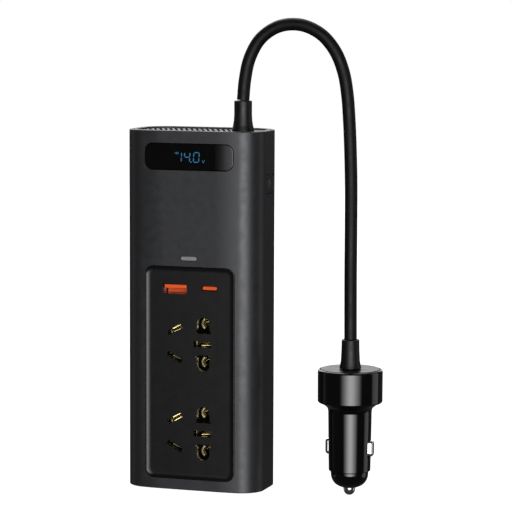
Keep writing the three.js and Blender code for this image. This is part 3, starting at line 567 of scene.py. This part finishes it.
shell_section = lip(HEIGHT, 1) + list(reversed(lip(0, -1)))
shell = loft("shell_sleeve", [[(x, y, z) for x, y in body_outline(inset)] for inset, z in shell_section],
             "shell", closed=True)
display_hole = rounded_rect(
    DISPLAY_W + 2 * GAP, DISPLAY_H + 2 * GAP, DISPLAY_R + GAP, DISPLAY_X, DISPLAY_Z, 10)
panel_hole = rounded_rect(PANEL_W + 2 * GAP, PANEL_H + 2 * GAP, PANEL_R + GAP, 0, PANEL_Z, 10)
light_hole = rounded_rect(LIGHT_W + 0.4, LIGHT_H + 0.4, 1.19, LIGHT_X, LIGHT_Z, 8)
button_hole = rounded_rect(BUTTON_W + 2 * GAP, BUTTON_H + 2 * GAP, BUTTON_R + GAP, BUTTON_Y, BUTTON_Z, 6)
cutters = [prism("window", outline, "y", -22, -15) for outline in (display_hole, panel_hole, light_hole)]
cutters.append(prism("button_window", button_hole, "x", 32, 36))
boolean(shell, merged("windows", cutters))
smooth(shell, 0.16, 2)
finish_piece(shell, "shell")

# Screw ports of the same extrusion, on the diagonals of the corner arcs and seen only through the vents
PORT_LOW, PORT_HIGH = 3.2, HEIGHT - 3.2
port_places = []
for radius, end in ((FRONT_RADIUS, -1), (BACK_RADIUS, 1)):
    for side in (-1, 1):
        reach = (radius - PORT_INSET) * math.sqrt(0.5)
        port_places.append((side * (WIDTH / 2 - radius + reach), end * (DEPTH / 2 - radius + reach)))
for index, port_place in enumerate(port_places):
    port = lathe(f"screw_port_{index + 1}", [
        (PORT_BORE, PORT_LOW), (PORT_RADIUS, PORT_LOW), (PORT_RADIUS, PORT_HIGH), (PORT_BORE, PORT_HIGH)],
        "shell", port_place, 32, closed=True)
    finish_piece(smooth(port))


# ------------------------ end caps
def vent_cutter(first_x, count, low, high, border):
    """Slanted bars side by side, kept inside the sleeve's section drawn in by border."""
    bars = []
    reach, half = DEPTH / 2, VENT_WIDTH / 2
    lean = VENT_SLANT * reach
    for i in range(count):
        x = first_x + i * VENT_PITCH
        bars.append(prism("bar", [
            (x - half + lean, -reach), (x + half + lean, -reach),
            (x + half - lean, reach), (x - half - lean, reach)], "z", low, high))
    cutter = merged("bars", bars)
    boolean(cutter, prism("field", body_outline(border, 10), "z", low + 0.01, high - 0.01), "INTERSECT")
    return cutter


CAP_LOW = HEIGHT - CAP_THICKNESS
top_cap = loft("end_cap_top", [[(x, y, z) for x, y in body_outline(inset)] for inset, z in (
    (2.1, CAP_LOW), (2.1, HEIGHT - 0.45), (2.17, HEIGHT - 0.2), (2.35, HEIGHT - 0.03), (3.5, HEIGHT))], "cap")
boolean(top_cap, prism("pocket", body_outline(CAP_BORDER), "z", HEIGHT - CAP_RECESS, HEIGHT + 1))
boolean(top_cap, vent_cutter(TOP_VENT_X, TOP_VENTS, CAP_LOW - 1, HEIGHT + 1, CAP_BORDER + 1.2))
lead_hole = arc(LEAD_X, LEAD_Y, 5.0, 0, math.tau, 48)[:-1]
boolean(top_cap, prism("hole", lead_hole, "z", CAP_LOW - 1, HEIGHT + 1))
smooth(top_cap, 0.14, 2)
finish_piece(top_cap, "top_cap")

base_cap = loft("end_cap_base", [[(x, y, z) for x, y in body_outline(inset)] for inset, z in (
    (3.4, 0), (2.35, 0.03), (2.17, 0.2), (2.1, 0.45), (2.1, CAP_THICKNESS))], "cap")
boolean(base_cap, vent_cutter(-(BASE_VENTS - 1) * VENT_PITCH / 2, BASE_VENTS, -1, CAP_THICKNESS + 1, 8.0))
above = CAP_THICKNESS + 1
bore = [(0, -1), (2.2, -1), (2.2, 1.7), (PORT_BORE, 1.7), (PORT_BORE, above), (0, above)]
holes = [lathe("bore", bore, None, port_place, 40) for port_place in port_places]
boolean(base_cap, merged("bores", holes))
smooth(base_cap, 0.14, 2)
finish_piece(base_cap, "bottom_cap")

for index, (x, y) in enumerate(port_places):
    screw = lathe(f"base_screw_{index + 1}", filleted([
        (0, 0.32, 0), (1.5, 0.32, 0.25), (1.9, 0.62, 0.15), (1.9, 1.4, 0.05), (1.35, 1.4, 0),
        (1.35, 10.3, 0.2), (0.7, 11.0, 0), (0, 11.0, 0)], 4, closed=False), "zinc", (x, y), 40)
    for size in ((2.5, 0.5), (0.5, 2.5)):
        boolean(screw, prism("blade", rounded_rect(*size, 0.1, x, y, 2), "z", 0, 0.85))
    finish_piece(smooth(screw, 0.05, 1), f"cap_screw_{index + 1}")


# ------------------------ display
def layered(name, width, height, radius, cx, cz, layers, look, steps=12):
    """Rounded rectangle in XZ built up of (inset, y) layers, from the back to the front."""
    rings = [[(x, y, z) for x, z in rounded_rect(width, height, radius, cx, cz, steps, inset)]
             for inset, y in layers]
    return loft(name, rings, look)


def front_edge(face_y, r, steps=4):
    """(inset, y) layers that round a front edge of radius r."""
    return [(r - r * math.cos(t), face_y + r - r * math.sin(t))
            for t in [math.pi / 2 * i / steps for i in range(steps + 1)]]


window_layers = [(-1.3, -16.3), (-1.3, FLANGE_Y), (0, FLANGE_Y)] + front_edge(FRONT_Y + 0.1, 0.35, 5)
window = layered("display_lens", DISPLAY_W, DISPLAY_H, DISPLAY_R, DISPLAY_X, DISPLAY_Z, window_layers, "lens")
finish_piece(smooth(follow_crown(window)), "display_window")

SEGMENT_FACE_Y = FRONT_Y + 0.075
DIGIT_W, DIGIT_H, DIGIT_BASE, LEAN = 3.25, 5.2, 160.75, 0.07
SEGMENT, SMALL_SEGMENT, SEGMENT_GAP = 0.52, 0.26, 0.2


def segment_shape(x0, z0, x1, z1, thick):
    """Long hexagon from one end to the other, as display segments are cut."""
    a, b = Vector((x0, z0)), Vector((x1, z1))
    along = (b - a).normalized()
    side = Vector((-along.y, along.x)) * thick / 2
    nose = along * thick / 2
    return [a, a + nose - side, b - nose - side, b, b - nose + side, a + nose + side]


def glyph(name, strokes, x, base, thick=SEGMENT):
    """Raised strokes on the lens, in a cell that leans a little to the right. A stroke is (x0, z0, x1, z1),
    and a dot is (x, z, radius)."""
    parts = []
    for stroke in strokes:
        if len(stroke) == 3:
            outline = [Vector(p) for p in arc(stroke[0], stroke[1], stroke[2], 0, math.tau, 12)[:-1]]
        else:
            outline = segment_shape(*stroke, thick=thick)
        outline = [(x + p.x + LEAN * p.y, base + p.y) for p in outline]
        parts.append(prism("stroke", outline, "y", SEGMENT_FACE_Y, SEGMENT_FACE_Y + 0.1))
    return finish_piece(merged(name, parts, "glow"))


LEFT, RIGHT = SEGMENT / 2, DIGIT_W - SEGMENT / 2
LOW, MIDDLE, HIGH = SEGMENT / 2, DIGIT_H / 2, DIGIT_H - SEGMENT / 2


def bar_at(z):
    """Level segment at height z."""
    return LEFT + SEGMENT_GAP, z, RIGHT - SEGMENT_GAP, z


def post_at(x, low, high):
    """Upright segment at x, between two levels."""
    return x, low + SEGMENT_GAP, x, high - SEGMENT_GAP


SEGMENTS = {
    "top": bar_at(HIGH), "bottom": bar_at(LOW), "middle": bar_at(MIDDLE),
    "upper_left": post_at(LEFT, MIDDLE, HIGH), "upper_right": post_at(RIGHT, MIDDLE, HIGH),
    "lower_left": post_at(LEFT, LOW, MIDDLE), "lower_right": post_at(RIGHT, LOW, MIDDLE),
}
DIGITS = {
    "0": ["top", "bottom", "upper_left", "upper_right", "lower_left", "lower_right"],
    "1": ["upper_right", "lower_right"],
    "4": ["middle", "upper_left", "upper_right", "lower_right"],
}
for position, (digit, x) in enumerate((("1", -7.25), ("4", -2.95), ("0", 1.75))):
    glyph(f"display_digit_{position + 1}", [SEGMENTS[s] for s in DIGITS[digit]], x, DIGIT_BASE)
glyph("display_point", [(0, 0, 0.34)], 0.85, DIGIT_BASE + 0.3)
glyph("display_volt_sign", [(0.05, 1.5, 0.65, 0.05), (1.25, 1.5, 0.65, 0.05)],
      6.45, DIGIT_BASE - 0.15, SMALL_SEGMENT)
glyph("display_input_sign", [
    (0, 0.75, 1.5, 0.75), (1.5, 0.75, 0.85, 1.35), (1.5, 0.75, 0.85, 0.15), (1.95, 0.05, 1.95, 1.45)],
    -7.8, DIGIT_BASE + 3.7, SMALL_SEGMENT)

light_layers = [(0, -12.6)] + front_edge(FRONT_Y + 0.1, 0.3, 4)
light_bar = layered("status_bar", LIGHT_W, LIGHT_H, 0.98, LIGHT_X, LIGHT_Z, light_layers, "light", 10)
finish_piece(smooth(light_bar), "status_light")


# ------------------------ socket panel
def panel_layers():
    """(inset, y) round the flange, out over the rim, and down the hollow wall to the floor."""
    rim, width, depth, face_y = 0.25, 2.4, 1.4, FRONT_Y + 0.05
    layers = [(-1.6, PANEL_BACK_Y), (-1.6, FLANGE_Y), (0, FLANGE_Y)] + front_edge(face_y, 0.15, 4)
    layers.append((rim - 0.05, face_y + 0.02))
    first = math.asin((face_y + 0.06 - FLOOR_Y + depth) / depth)
    for step in range(13):
        t = first + (math.pi / 2 - first) * step / 12
        inset = rim + width * (math.cos(first) - math.cos(t))
        layers.append((inset, FLOOR_Y - depth + depth * math.sin(t)))
    return layers


panel = layered("socket_panel_face", PANEL_W, PANEL_H, PANEL_R, 0, PANEL_Z, panel_layers(), "panel", 12)


def pin_hole(centre, way):
    """Arch over a wider flat base. way is 1 where the arch points up."""
    half, base, step, round_off = BLADE_W / 2, PIN_HOLE_BASE, PIN_HOLE_BASE + BLADE_H, 0.25
    arch = arc(PIN_X, PIN_HOLE_TOP - PIN_HOLE_R, PIN_HOLE_R, 0, math.pi, 18)
    shape = [(PIN_X - half, base, round_off), (PIN_X + half, base, round_off),
             (PIN_X + half, step, round_off), (PIN_X + PIN_HOLE_R, step, 0.0)]
    lower = filleted(shape + [(PIN_X, 12, 0)], 3)[:-1]
    mirrored = [(2 * PIN_X - x, z) for x, z in reversed(lower)]
    first = [p for p in lower if p[0] > PIN_X]
    second = [p for p in mirrored if p[0] < PIN_X]
    outline = first + arch + second
    return [(x, centre + way * z) for x, z in (outline if way > 0 else reversed(outline))]


hole_cutters = []
for centre in SOCKETS.values():
    for way in (1, -1):
        hole_cutters.append(pin_hole(centre, way))
        hole_cutters.append(slanted_rect(*SLANT_SIZE, SLANT_X, centre + way * SLANT_Z, way * SLANT_ANGLE))
    hole_cutters.append(slanted_rect(*EARTH_SIZE, EARTH_X, centre, 0))
hole_cutters.append(rounded_rect(*(size - 2 * USB_A_WALL for size in USB_A_SIZE), 0.4, *USB_A, 4))
hole_cutters.append(rounded_rect(*(size - 2 * USB_C_WALL for size in USB_C_SIZE), 1.3, *USB_C, 8))
boolean(panel, merged("holes", [prism("hole", outline, "y", -21, -14) for outline in hole_cutters]))
smooth(follow_crown(panel, FLOOR_Y, 1.2), 0.1, 2)
finish_piece(panel, "socket_panel")


# ------------------------ contacts
def fork(length, inner, x, z, angle, leaf_start, thickness=0.4):
    """Two flared leaves of sheet brass, a wall at their left end and the bridge behind them."""
    parts = []
    cos, sin = math.cos(angle), math.sin(angle)
    for side in (-1, 1):
        profile = [(-13.8, inner / 2 + 0.45 - thickness / 2), (-12.5, inner / 2 - 0.35),
                   (-10.6, inner / 2 - 0.2), (BRIDGE_Y, inner / 2 + 0.05)]
        outline = [(y, side * a) for y, a in profile]
        outline += [(y, side * (a + thickness)) for y, a in reversed(profile)]
        rings = []
        for u, lag in ((leaf_start, 0.0), (length / 2, 0.45 * (length / 2 - leaf_start))):
            rings.append([(x + u * cos - a * sin, y + (lag if y < 0 else 0), z + u * sin + a * cos)
                          for y, a in outline])
        parts.append(loft("leaf", rings))
    wall = 0.35
    end = wall / 2 - length / 2
    wall_outline = slanted_rect(wall, inner + 1, x + end * cos, z + end * sin, angle, 0.1, 2)
    parts.append(prism("end", wall_outline, "y", -13.2, BRIDGE_Y))
    bridge_outline = slanted_rect(length, inner + 1, x, z, angle, 0.2, 2)
    parts.append(prism("bridge", bridge_outline, "y", BRIDGE_Y + 0.01, CONTACT_BACK_Y))
    return parts


def pin_socket(x, z):
    """Two curved leaves that grip a round pin, the left one wider, each on a narrow stem from a disc."""
    parts = []
    stem = 0.06
    stations = ((-12.0, 2.2, 1), (-11.6, 2.12, 1), (-10.4, 2.12, 1), (-9.8, 2.12, stem),
                (BRIDGE_Y, 2.2, stem))
    for side, spread, thickness in ((-1, 62, 0.8), (1, 12, 0.45)):
        rings = []
        for y, inner, width in stations:
            turns = [math.radians(spread * width * (i / 7 - 1)) for i in range(15)]
            inside = [(x + side * inner * math.cos(t), z + inner * math.sin(t)) for t in turns]
            outside = [(x + side * (inner + thickness) * math.cos(t), z + (inner + thickness) * math.sin(t))
                       for t in reversed(turns)]
            rings.append([(a, y, b) for a, b in inside + outside])
        parts.append(loft("leaf", rings))
    disc = arc(x, z, 2.6, 0, math.tau, 32)[:-1]
    parts.append(prism("disc", disc, "y", BRIDGE_Y + 0.01, CONTACT_BACK_Y))
    return parts


for place, centre in SOCKETS.items():
    for pole, way in (("line", 1), ("neutral", -1)):
        strip_outline = rounded_rect(PIN_X - SLANT_X, 3.0, 0.3, (PIN_X + SLANT_X) / 2, centre + way * 8.2, 3)
        strip = prism("strip", strip_outline, "y", CONTACT_BACK_Y + 0.01, CONTACT_BACK_Y + 0.45)
        parts = pin_socket(PIN_X, centre + way * PIN_Z)
        parts += fork(8.0, 1.0, SLANT_X, centre + way * SLANT_Z, way * SLANT_ANGLE, -2.2)
        contact = merged(f"{place}_{pole}_spring", parts + [strip], "brass")
        finish_piece(smooth(contact, 0.08, 2), f"{place}_{pole}_contact")
    contact = merged(f"{place}_earth_spring", fork(8.8, 1.4, EARTH_X - 0.3, centre, 0, -1.4), "brass")
    finish_piece(smooth(contact, 0.08, 2), f"{place}_earth_contact")


# ------------------------ USB ports
def port_shell(name, size, radius, centre, wall, back_y, node):
    """Drawn steel tube with a rolled front edge."""
    front, roll = PANEL_BACK_Y + GAP, 0.12
    layers = [(0, back_y), (0, front + roll), (wall * 0.35, front), (wall * 0.65, front),
              (wall, front + roll), (wall, back_y)]
    rings = [[(x, y, z) for x, z in rounded_rect(*size, radius, *centre, 8, inset)] for inset, y in layers]
    finish_piece(smooth(loft(name, rings, "steel", closed=True)), node)


port_shell("usb_a_port", USB_A_SIZE, 0.6, USB_A, USB_A_WALL, -2, "usb_a_shell")
port_shell("usb_c_port", USB_C_SIZE, 1.6, USB_C, USB_C_WALL, -7.5, "usb_c_shell")
tongue_a = layered("usb_a_tongue", 11.4, 1.8, 0.25, USB_A[0], USB_A[1] + 1.1,
                   [(0, -2.4)] + front_edge(TONGUE_A_Y, 0.25, 3), "orange", 4)
finish_piece(smooth(tongue_a), "usb_a_insulator")
rear_a_outline = rounded_rect(11.6, 2.4, 0.3, USB_A[0], USB_A[1] - 1.2, 3)
rear_a = prism("usb_a_rear", rear_a_outline, "y", -11.8, -2.4, "orange")
finish_piece(smooth(rear_a, 0.15, 2))
PAD_PITCH, PAD_HALF = 2.35, 0.45
for index in range(4):
    x, top = USB_A[0] + (index - 1.5) * PAD_PITCH, USB_A[1] + 0.17
    pad = loft(f"usb_a_pad_{index + 1}", [
        [(x + s * PAD_HALF, y, top - drop) for s, drop in ((-1, 0), (1, 0), (1, bow), (-1, bow))]
        for y, bow in ((-16.8, 0.12), (-15.8, 0.4), (-14.0, 0.5), (-12.2, 0.12))], "gold")
    finish_piece(smooth(pad, 0.06, 2))
REAR_C_Y = -15.4
tongue_c_layers = [(0, REAR_C_Y - 0.01)] + front_edge(TONGUE_C_Y, 0.25, 3)
tongue_c = layered("usb_c_tongue", 7.4, 1.7, 0.8, *USB_C, tongue_c_layers, "orange", 6)
finish_piece(smooth(tongue_c), "usb_c_insulator")
rear_c = prism("usb_c_rear", rounded_rect(7.7, 2.06, 1.02, *USB_C, 6), "y", REAR_C_Y, -7.8, "orange")
finish_piece(smooth(rear_c, 0.1, 2))

# ------------------------ power button
FLANGE_LOW_X, FLANGE_HIGH_X, BUTTON_FACE_X = 31.25, 32.25, WIDTH / 2 - 0.25
button_rings = []
for inset, x in [(0, FLANGE_HIGH_X + 0.01)] + [(i, -y) for i, y in front_edge(-BUTTON_FACE_X, 0.3, 4)]:
    button_rings.append([(x, y, z) for y, z in rounded_rect(
        BUTTON_W, BUTTON_H, BUTTON_R, BUTTON_Y, BUTTON_Z, 8, inset)])
button = loft("button_cap", button_rings, "button")
finish_piece(smooth(button), "power_button", "button")
flange_outline = rounded_rect(BUTTON_W, BUTTON_H + 2, BUTTON_R, BUTTON_Y, BUTTON_Z, 6)
button_flange = prism("button_flange", flange_outline, "x", FLANGE_LOW_X, FLANGE_HIGH_X, "button")
finish_piece(smooth(button_flange, 0.1, 2), body="button")
sign_start, sign_end = math.radians(125), math.radians(415)
sign_depth = (BUTTON_FACE_X - 0.05, BUTTON_FACE_X + 0.06)
sign_outline = arc(BUTTON_Y, BUTTON_Z, 2.05, sign_start, sign_end, 40)
sign_outline += arc(BUTTON_Y, BUTTON_Z, 1.65, sign_end, sign_start, 40)
power_sign = merged("button_sign", [
    prism("ring", sign_outline, "x", *sign_depth),
    prism("bar", rounded_rect(0.42, 2.1, 0.1, BUTTON_Y, BUTTON_Z + 1.35, 3), "x", *sign_depth)], "mark")
finish_piece(power_sign, body="button")

# ------------------------ strain relief on the sleeve
relief = lathe("lead_relief_sleeve", filleted([
    (3.15, 186.9, 0), (3.15, 190.4, 0.3), (4.33, 190.4, 0.45), (4.33, 183.6, 6), (4.48, 180.9, 6),
    (4.9, 178.3, 6), (5.5, 176.2, 0.4), (5.5, 175.5, 0), (4.6, 175.5, 0), (4.6, 173.1, 0), (5.8, 173.1, 0.5),
    (5.8, 166.2, 0.6), (0, 166.2, 0)], 6, closed=False) + [(0, 186.9)], "relief", (LEAD_X, LEAD_Y), 72)
finish_piece(smooth(relief, angle=50), "lead_strain_relief")

# ------------------------ plug
plug_relief = plug_place(lathe("plug_relief_sleeve", filleted([
    (3.15, 73.0, 0), (3.15, 76.2, 0.25), (4.28, 76.2, 0.45), (4.38, 70.9, 6), (4.62, 65.9, 6),
    (4.95, 63.9, 3), (5.4, 62.3, 0.2), (3.6, 62.3, 0), (3.6, 58.9, 0), (5.5, 58.9, 0.3), (5.5, 57, 0.3),
    (0, 57, 0)], 6, closed=False) + [(0, 73.0)], "relief", segments=72))
finish_piece(smooth(plug_relief, angle=50), "plug_strain_relief")

plug_disc = plug_place(lathe("plug_top_disc", filleted([
    (4.0, 59.2, 0), (4.0, 62, 0.25), (14.4, 62, 0.5), (14.4, 59.2, 0.1)], 5), "disc", closed=True))
finish_piece(smooth(plug_disc, angle=50), "plug_cap")

# The barrel widens through a hollow curve to the collar, whose top edge is a quarter of an ellipse, the crest
crest = [(14.85 + 0.9 * math.cos(math.pi / 16 * i), 60.2 + 1.5 * math.sin(math.pi / 16 * i), 0)
         for i in range(1, 9)]
housing = lathe("plug_barrel", filleted([
    (8.6, 12.2, 0.1), (10.12, 12.2, 0.25), (10.3, 22, 8), (10.57, 41.2, 4), (10.85, 42.8, 2),
    (12.9, 44.6, 3.2), (15.7, 45.8, 0.9), (15.72, 51, 0), (15.75, 59.9, 0), *crest, (14.75, 61.7, 0.12),
    (14.75, 58.9, 0), (12.9, 58.9, 0), (12.9, 49.7, 0), (11.5, 49.7, 0), (11.5, 45.8, 0), (8.6, 43, 0)],
    8), "gloss", segments=128, closed=True)
slot_outline = rounded_rect(5.7, 8.7, 0.7, 0, CLIP_Z, 6)
slot_cutters = [prism("slot", slot_outline, "x", *ends) for ends in ((6, 14), (-14, -6))]
boolean(housing, merged("slots", slot_cutters))
smooth(plug_place(housing), 0.1, 2, 48)
finish_piece(housing, "plug_housing")

# The nose's dome is a superellipse
DOME_RADIUS, DOME_Z, DOME_HEIGHT, DOME_POWER, DOME_STEPS = 9.15, 3.65, 8.1, 2.5, 16
dome = [(DOME_RADIUS * (1 - (1 - k / DOME_STEPS) ** DOME_POWER) ** (1 / DOME_POWER),
         DOME_Z + DOME_HEIGHT * k / DOME_STEPS, 0) for k in range(1, DOME_STEPS + 1)]
nose = plug_place(lathe("plug_nose_dome", filleted([
    (3.25, 3.75, 0.1), *dome, (9.05, 11.9, 0), (8.2, 11.9, 0),
    (8.2, 17, 0.2), (5, 17, 0), (5, 5.5, 0), (3.25, 5.5, 0)], 7), "gloss", closed=True))
finish_piece(smooth(nose, angle=50), "plug_nose")

pin = plug_place(lathe("plug_centre_pin", filleted([
    (0, 0.02, 0), (1.2, 0.12, 2), (2.35, 1.1, 2), (2.82, 2.3, 1.5), (2.9, 3.2, 0.5), (2.9, 5.8, 0),
    (4.6, 5.8, 0.2), (4.6, 7.2, 0.2), (0, 7.2, 0)], 6, closed=False), "chrome", segments=64))
finish_piece(smooth(pin, angle=50), "centre_pin", "pin")

# Side contacts: a block with a round outer edge, turned a little about its own centre, on a lip plate
CLIP_TURN, CLIP_CENTRE_X, CLIP_BACK_X = math.radians(7), 9.8, 7.4
for side, label in ((-1, "left"), (1, "right")):
    clip_layers = [(0, CLIP_BACK_X)] + [(i, -y) for i, y in front_edge(-CLIP_FACE, 1.5, 9)]
    block = loft(f"{label}_clip", [[(side * x, y, z) for y, z in rounded_rect(
        5.0, 7.9, 1.8, 0, CLIP_Z, 8, inset)] for inset, x in clip_layers], "clip")
    lip_ends = sorted((side * 7.0, side * (CLIP_BACK_X - 0.01)))
    lip_plate = prism(f"{label}_clip_lip", rounded_rect(4.8, 9.7, 0.5, 0, CLIP_Z, 4), "x", *lip_ends, "clip")
    centre = Matrix.Translation((side * CLIP_CENTRE_X * MM, 0, 0))
    block.data.transform(centre @ Matrix.Rotation(CLIP_TURN, 4, "Z") @ centre.inverted())
    finish_piece(smooth(plug_place(block)), f"{label}_side_contact", f"{label}_contact")
    finish_piece(smooth(plug_place(lip_plate), 0.1, 2), body=f"{label}_contact")

# ------------------------ what stays of the CAD model, repainted
REPAINT = {
    "carrier": ["upper_socket_carrier", "lower_socket_carrier"],
    "dark": ["display_module", "switch_body", "fan_frame", "fan_rotor", "transistor_1", "transistor_2",
             "transistor_3", "transistor_4"],
    "board": ["display_board", "usb_board", "main_board", "plug_board"],
    "ferrite": ["transformer_core"], "winding": ["transformer_winding", "output_inductor"],
    "sleeve": ["bulk_capacitor", "input_capacitor_1", "input_capacitor_2"],
    "milled": ["heat_spreader"], "red": ["positive_wire"], "cord": ["negative_wire"], "glass": ["plug_fuse"],
    "chrome": ["pin_spring"],
}
for look_name, names in REPAINT.items():
    for node_name in names:
        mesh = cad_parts[node_name].data
        mesh.materials.clear()
        mesh.materials.append(LOOKS[look_name])

# ------------------------ floor and light
floor_mesh = bpy.data.meshes.new("floor")
FLOOR_REACH, FLOOR_DROP = 6, 0.0002
floor_corners = [(x * FLOOR_REACH, y * FLOOR_REACH, 0) for x, y in ((-1, -1), (1, -1), (1, 1), (-1, 1))]
floor_mesh.from_pydata(floor_corners, [], [(0, 1, 2, 3)])
floor = bpy.data.objects.new("floor", floor_mesh)
scene.collection.objects.link(floor)
floor_look = Look("floor", Roughness=0.9, Emission_Strength=FLOOR_GLOW)
floor_look.colours(floor_look.noise(6, 3), (0.23, 0.23, 0.23), (0.25, 0.25, 0.25))
floor_look.shader.inputs["Emission Color"].default_value = (1, 1, 1, 1)
# The floor's underside is clear, so that the base can be seen from below
clear = floor_look.nodes.new("ShaderNodeBsdfTransparent")
facing = floor_look.nodes.new("ShaderNodeNewGeometry")
blend = floor_look.nodes.new("ShaderNodeMixShader")
floor_look.links.new(facing.outputs["Backfacing"], blend.inputs["Fac"])
floor_look.links.new(floor_look.shader.outputs["BSDF"], blend.inputs[1])
floor_look.links.new(clear.outputs["BSDF"], blend.inputs[2])
floor_look.links.new(blend.outputs["Shader"], floor_look.nodes["Material Output"].inputs["Surface"])
floor_mesh.materials.append(floor_look.material)
floor.location.z = -FLOOR_DROP
floor.visible_glossy = floor.visible_diffuse = floor.visible_shadow = False

world = bpy.data.worlds.new("studio")
world.use_nodes = True
scene.world = world
tree = world.node_tree
ambient = tree.nodes["Background"]
ambient.inputs["Color"].default_value = (1, 1, 1, 1)
ambient.inputs["Strength"].default_value = AMBIENT
backdrop = tree.nodes.new("ShaderNodeBackground")
backdrop.inputs["Color"].default_value = (1, 1, 1, 1)
backdrop.inputs["Strength"].default_value = 1.0
mix = tree.nodes.new("ShaderNodeMixShader")
rays = tree.nodes.new("ShaderNodeLightPath")
tree.links.new(rays.outputs["Is Camera Ray"], mix.inputs["Fac"])
tree.links.new(ambient.outputs["Background"], mix.inputs[1])
tree.links.new(backdrop.outputs["Background"], mix.inputs[2])
tree.links.new(mix.outputs["Shader"], tree.nodes["World Output"].inputs["Surface"])


def softbox(name, azimuth, elevation, distance, size, radiance, stops):
    """Rectangular light that faces the object. stops are (place across it, brightness), from one side to the
    other. Azimuth 0 is in front of the object, and 90 is on its right."""
    data = bpy.data.lights.new(name, "AREA")
    data.shape, data.size, data.size_y = "RECTANGLE", size[0], size[1]
    data.energy = radiance * math.pi * size[0] * size[1]
    data.use_nodes = True
    nodes, links = data.node_tree.nodes, data.node_tree.links
    geometry = nodes.new("ShaderNodeNewGeometry")
    split = nodes.new("ShaderNodeSeparateXYZ")
    ramp = nodes.new("ShaderNodeValToRGB")
    ramp.color_ramp.interpolation = "B_SPLINE"
    elements = ramp.color_ramp.elements
    while len(elements) < len(stops):
        elements.new(0.5)
    for element, (place, value) in zip(elements, stops):
        element.position, element.color = place, (value, value, value, 1)
    links.new(geometry.outputs["Parametric"], split.inputs["Vector"])
    links.new(split.outputs["X"], ramp.inputs["Fac"])
    links.new(ramp.outputs["Color"], nodes["Emission"].inputs["Strength"])
    a, e = math.radians(azimuth), math.radians(elevation)
    away = Vector((math.sin(a) * math.cos(e), -math.cos(a) * math.cos(e), math.sin(e)))
    made = bpy.data.objects.new(name, data)
    made.location = AIM + distance * away
    made.rotation_euler = away.to_track_quat("Z", "Y").to_euler()
    scene.collection.objects.link(made)


for light in LIGHTS:
    softbox(*light)

scene.view_settings.view_transform = "Standard"
scene.view_settings.look = "None"
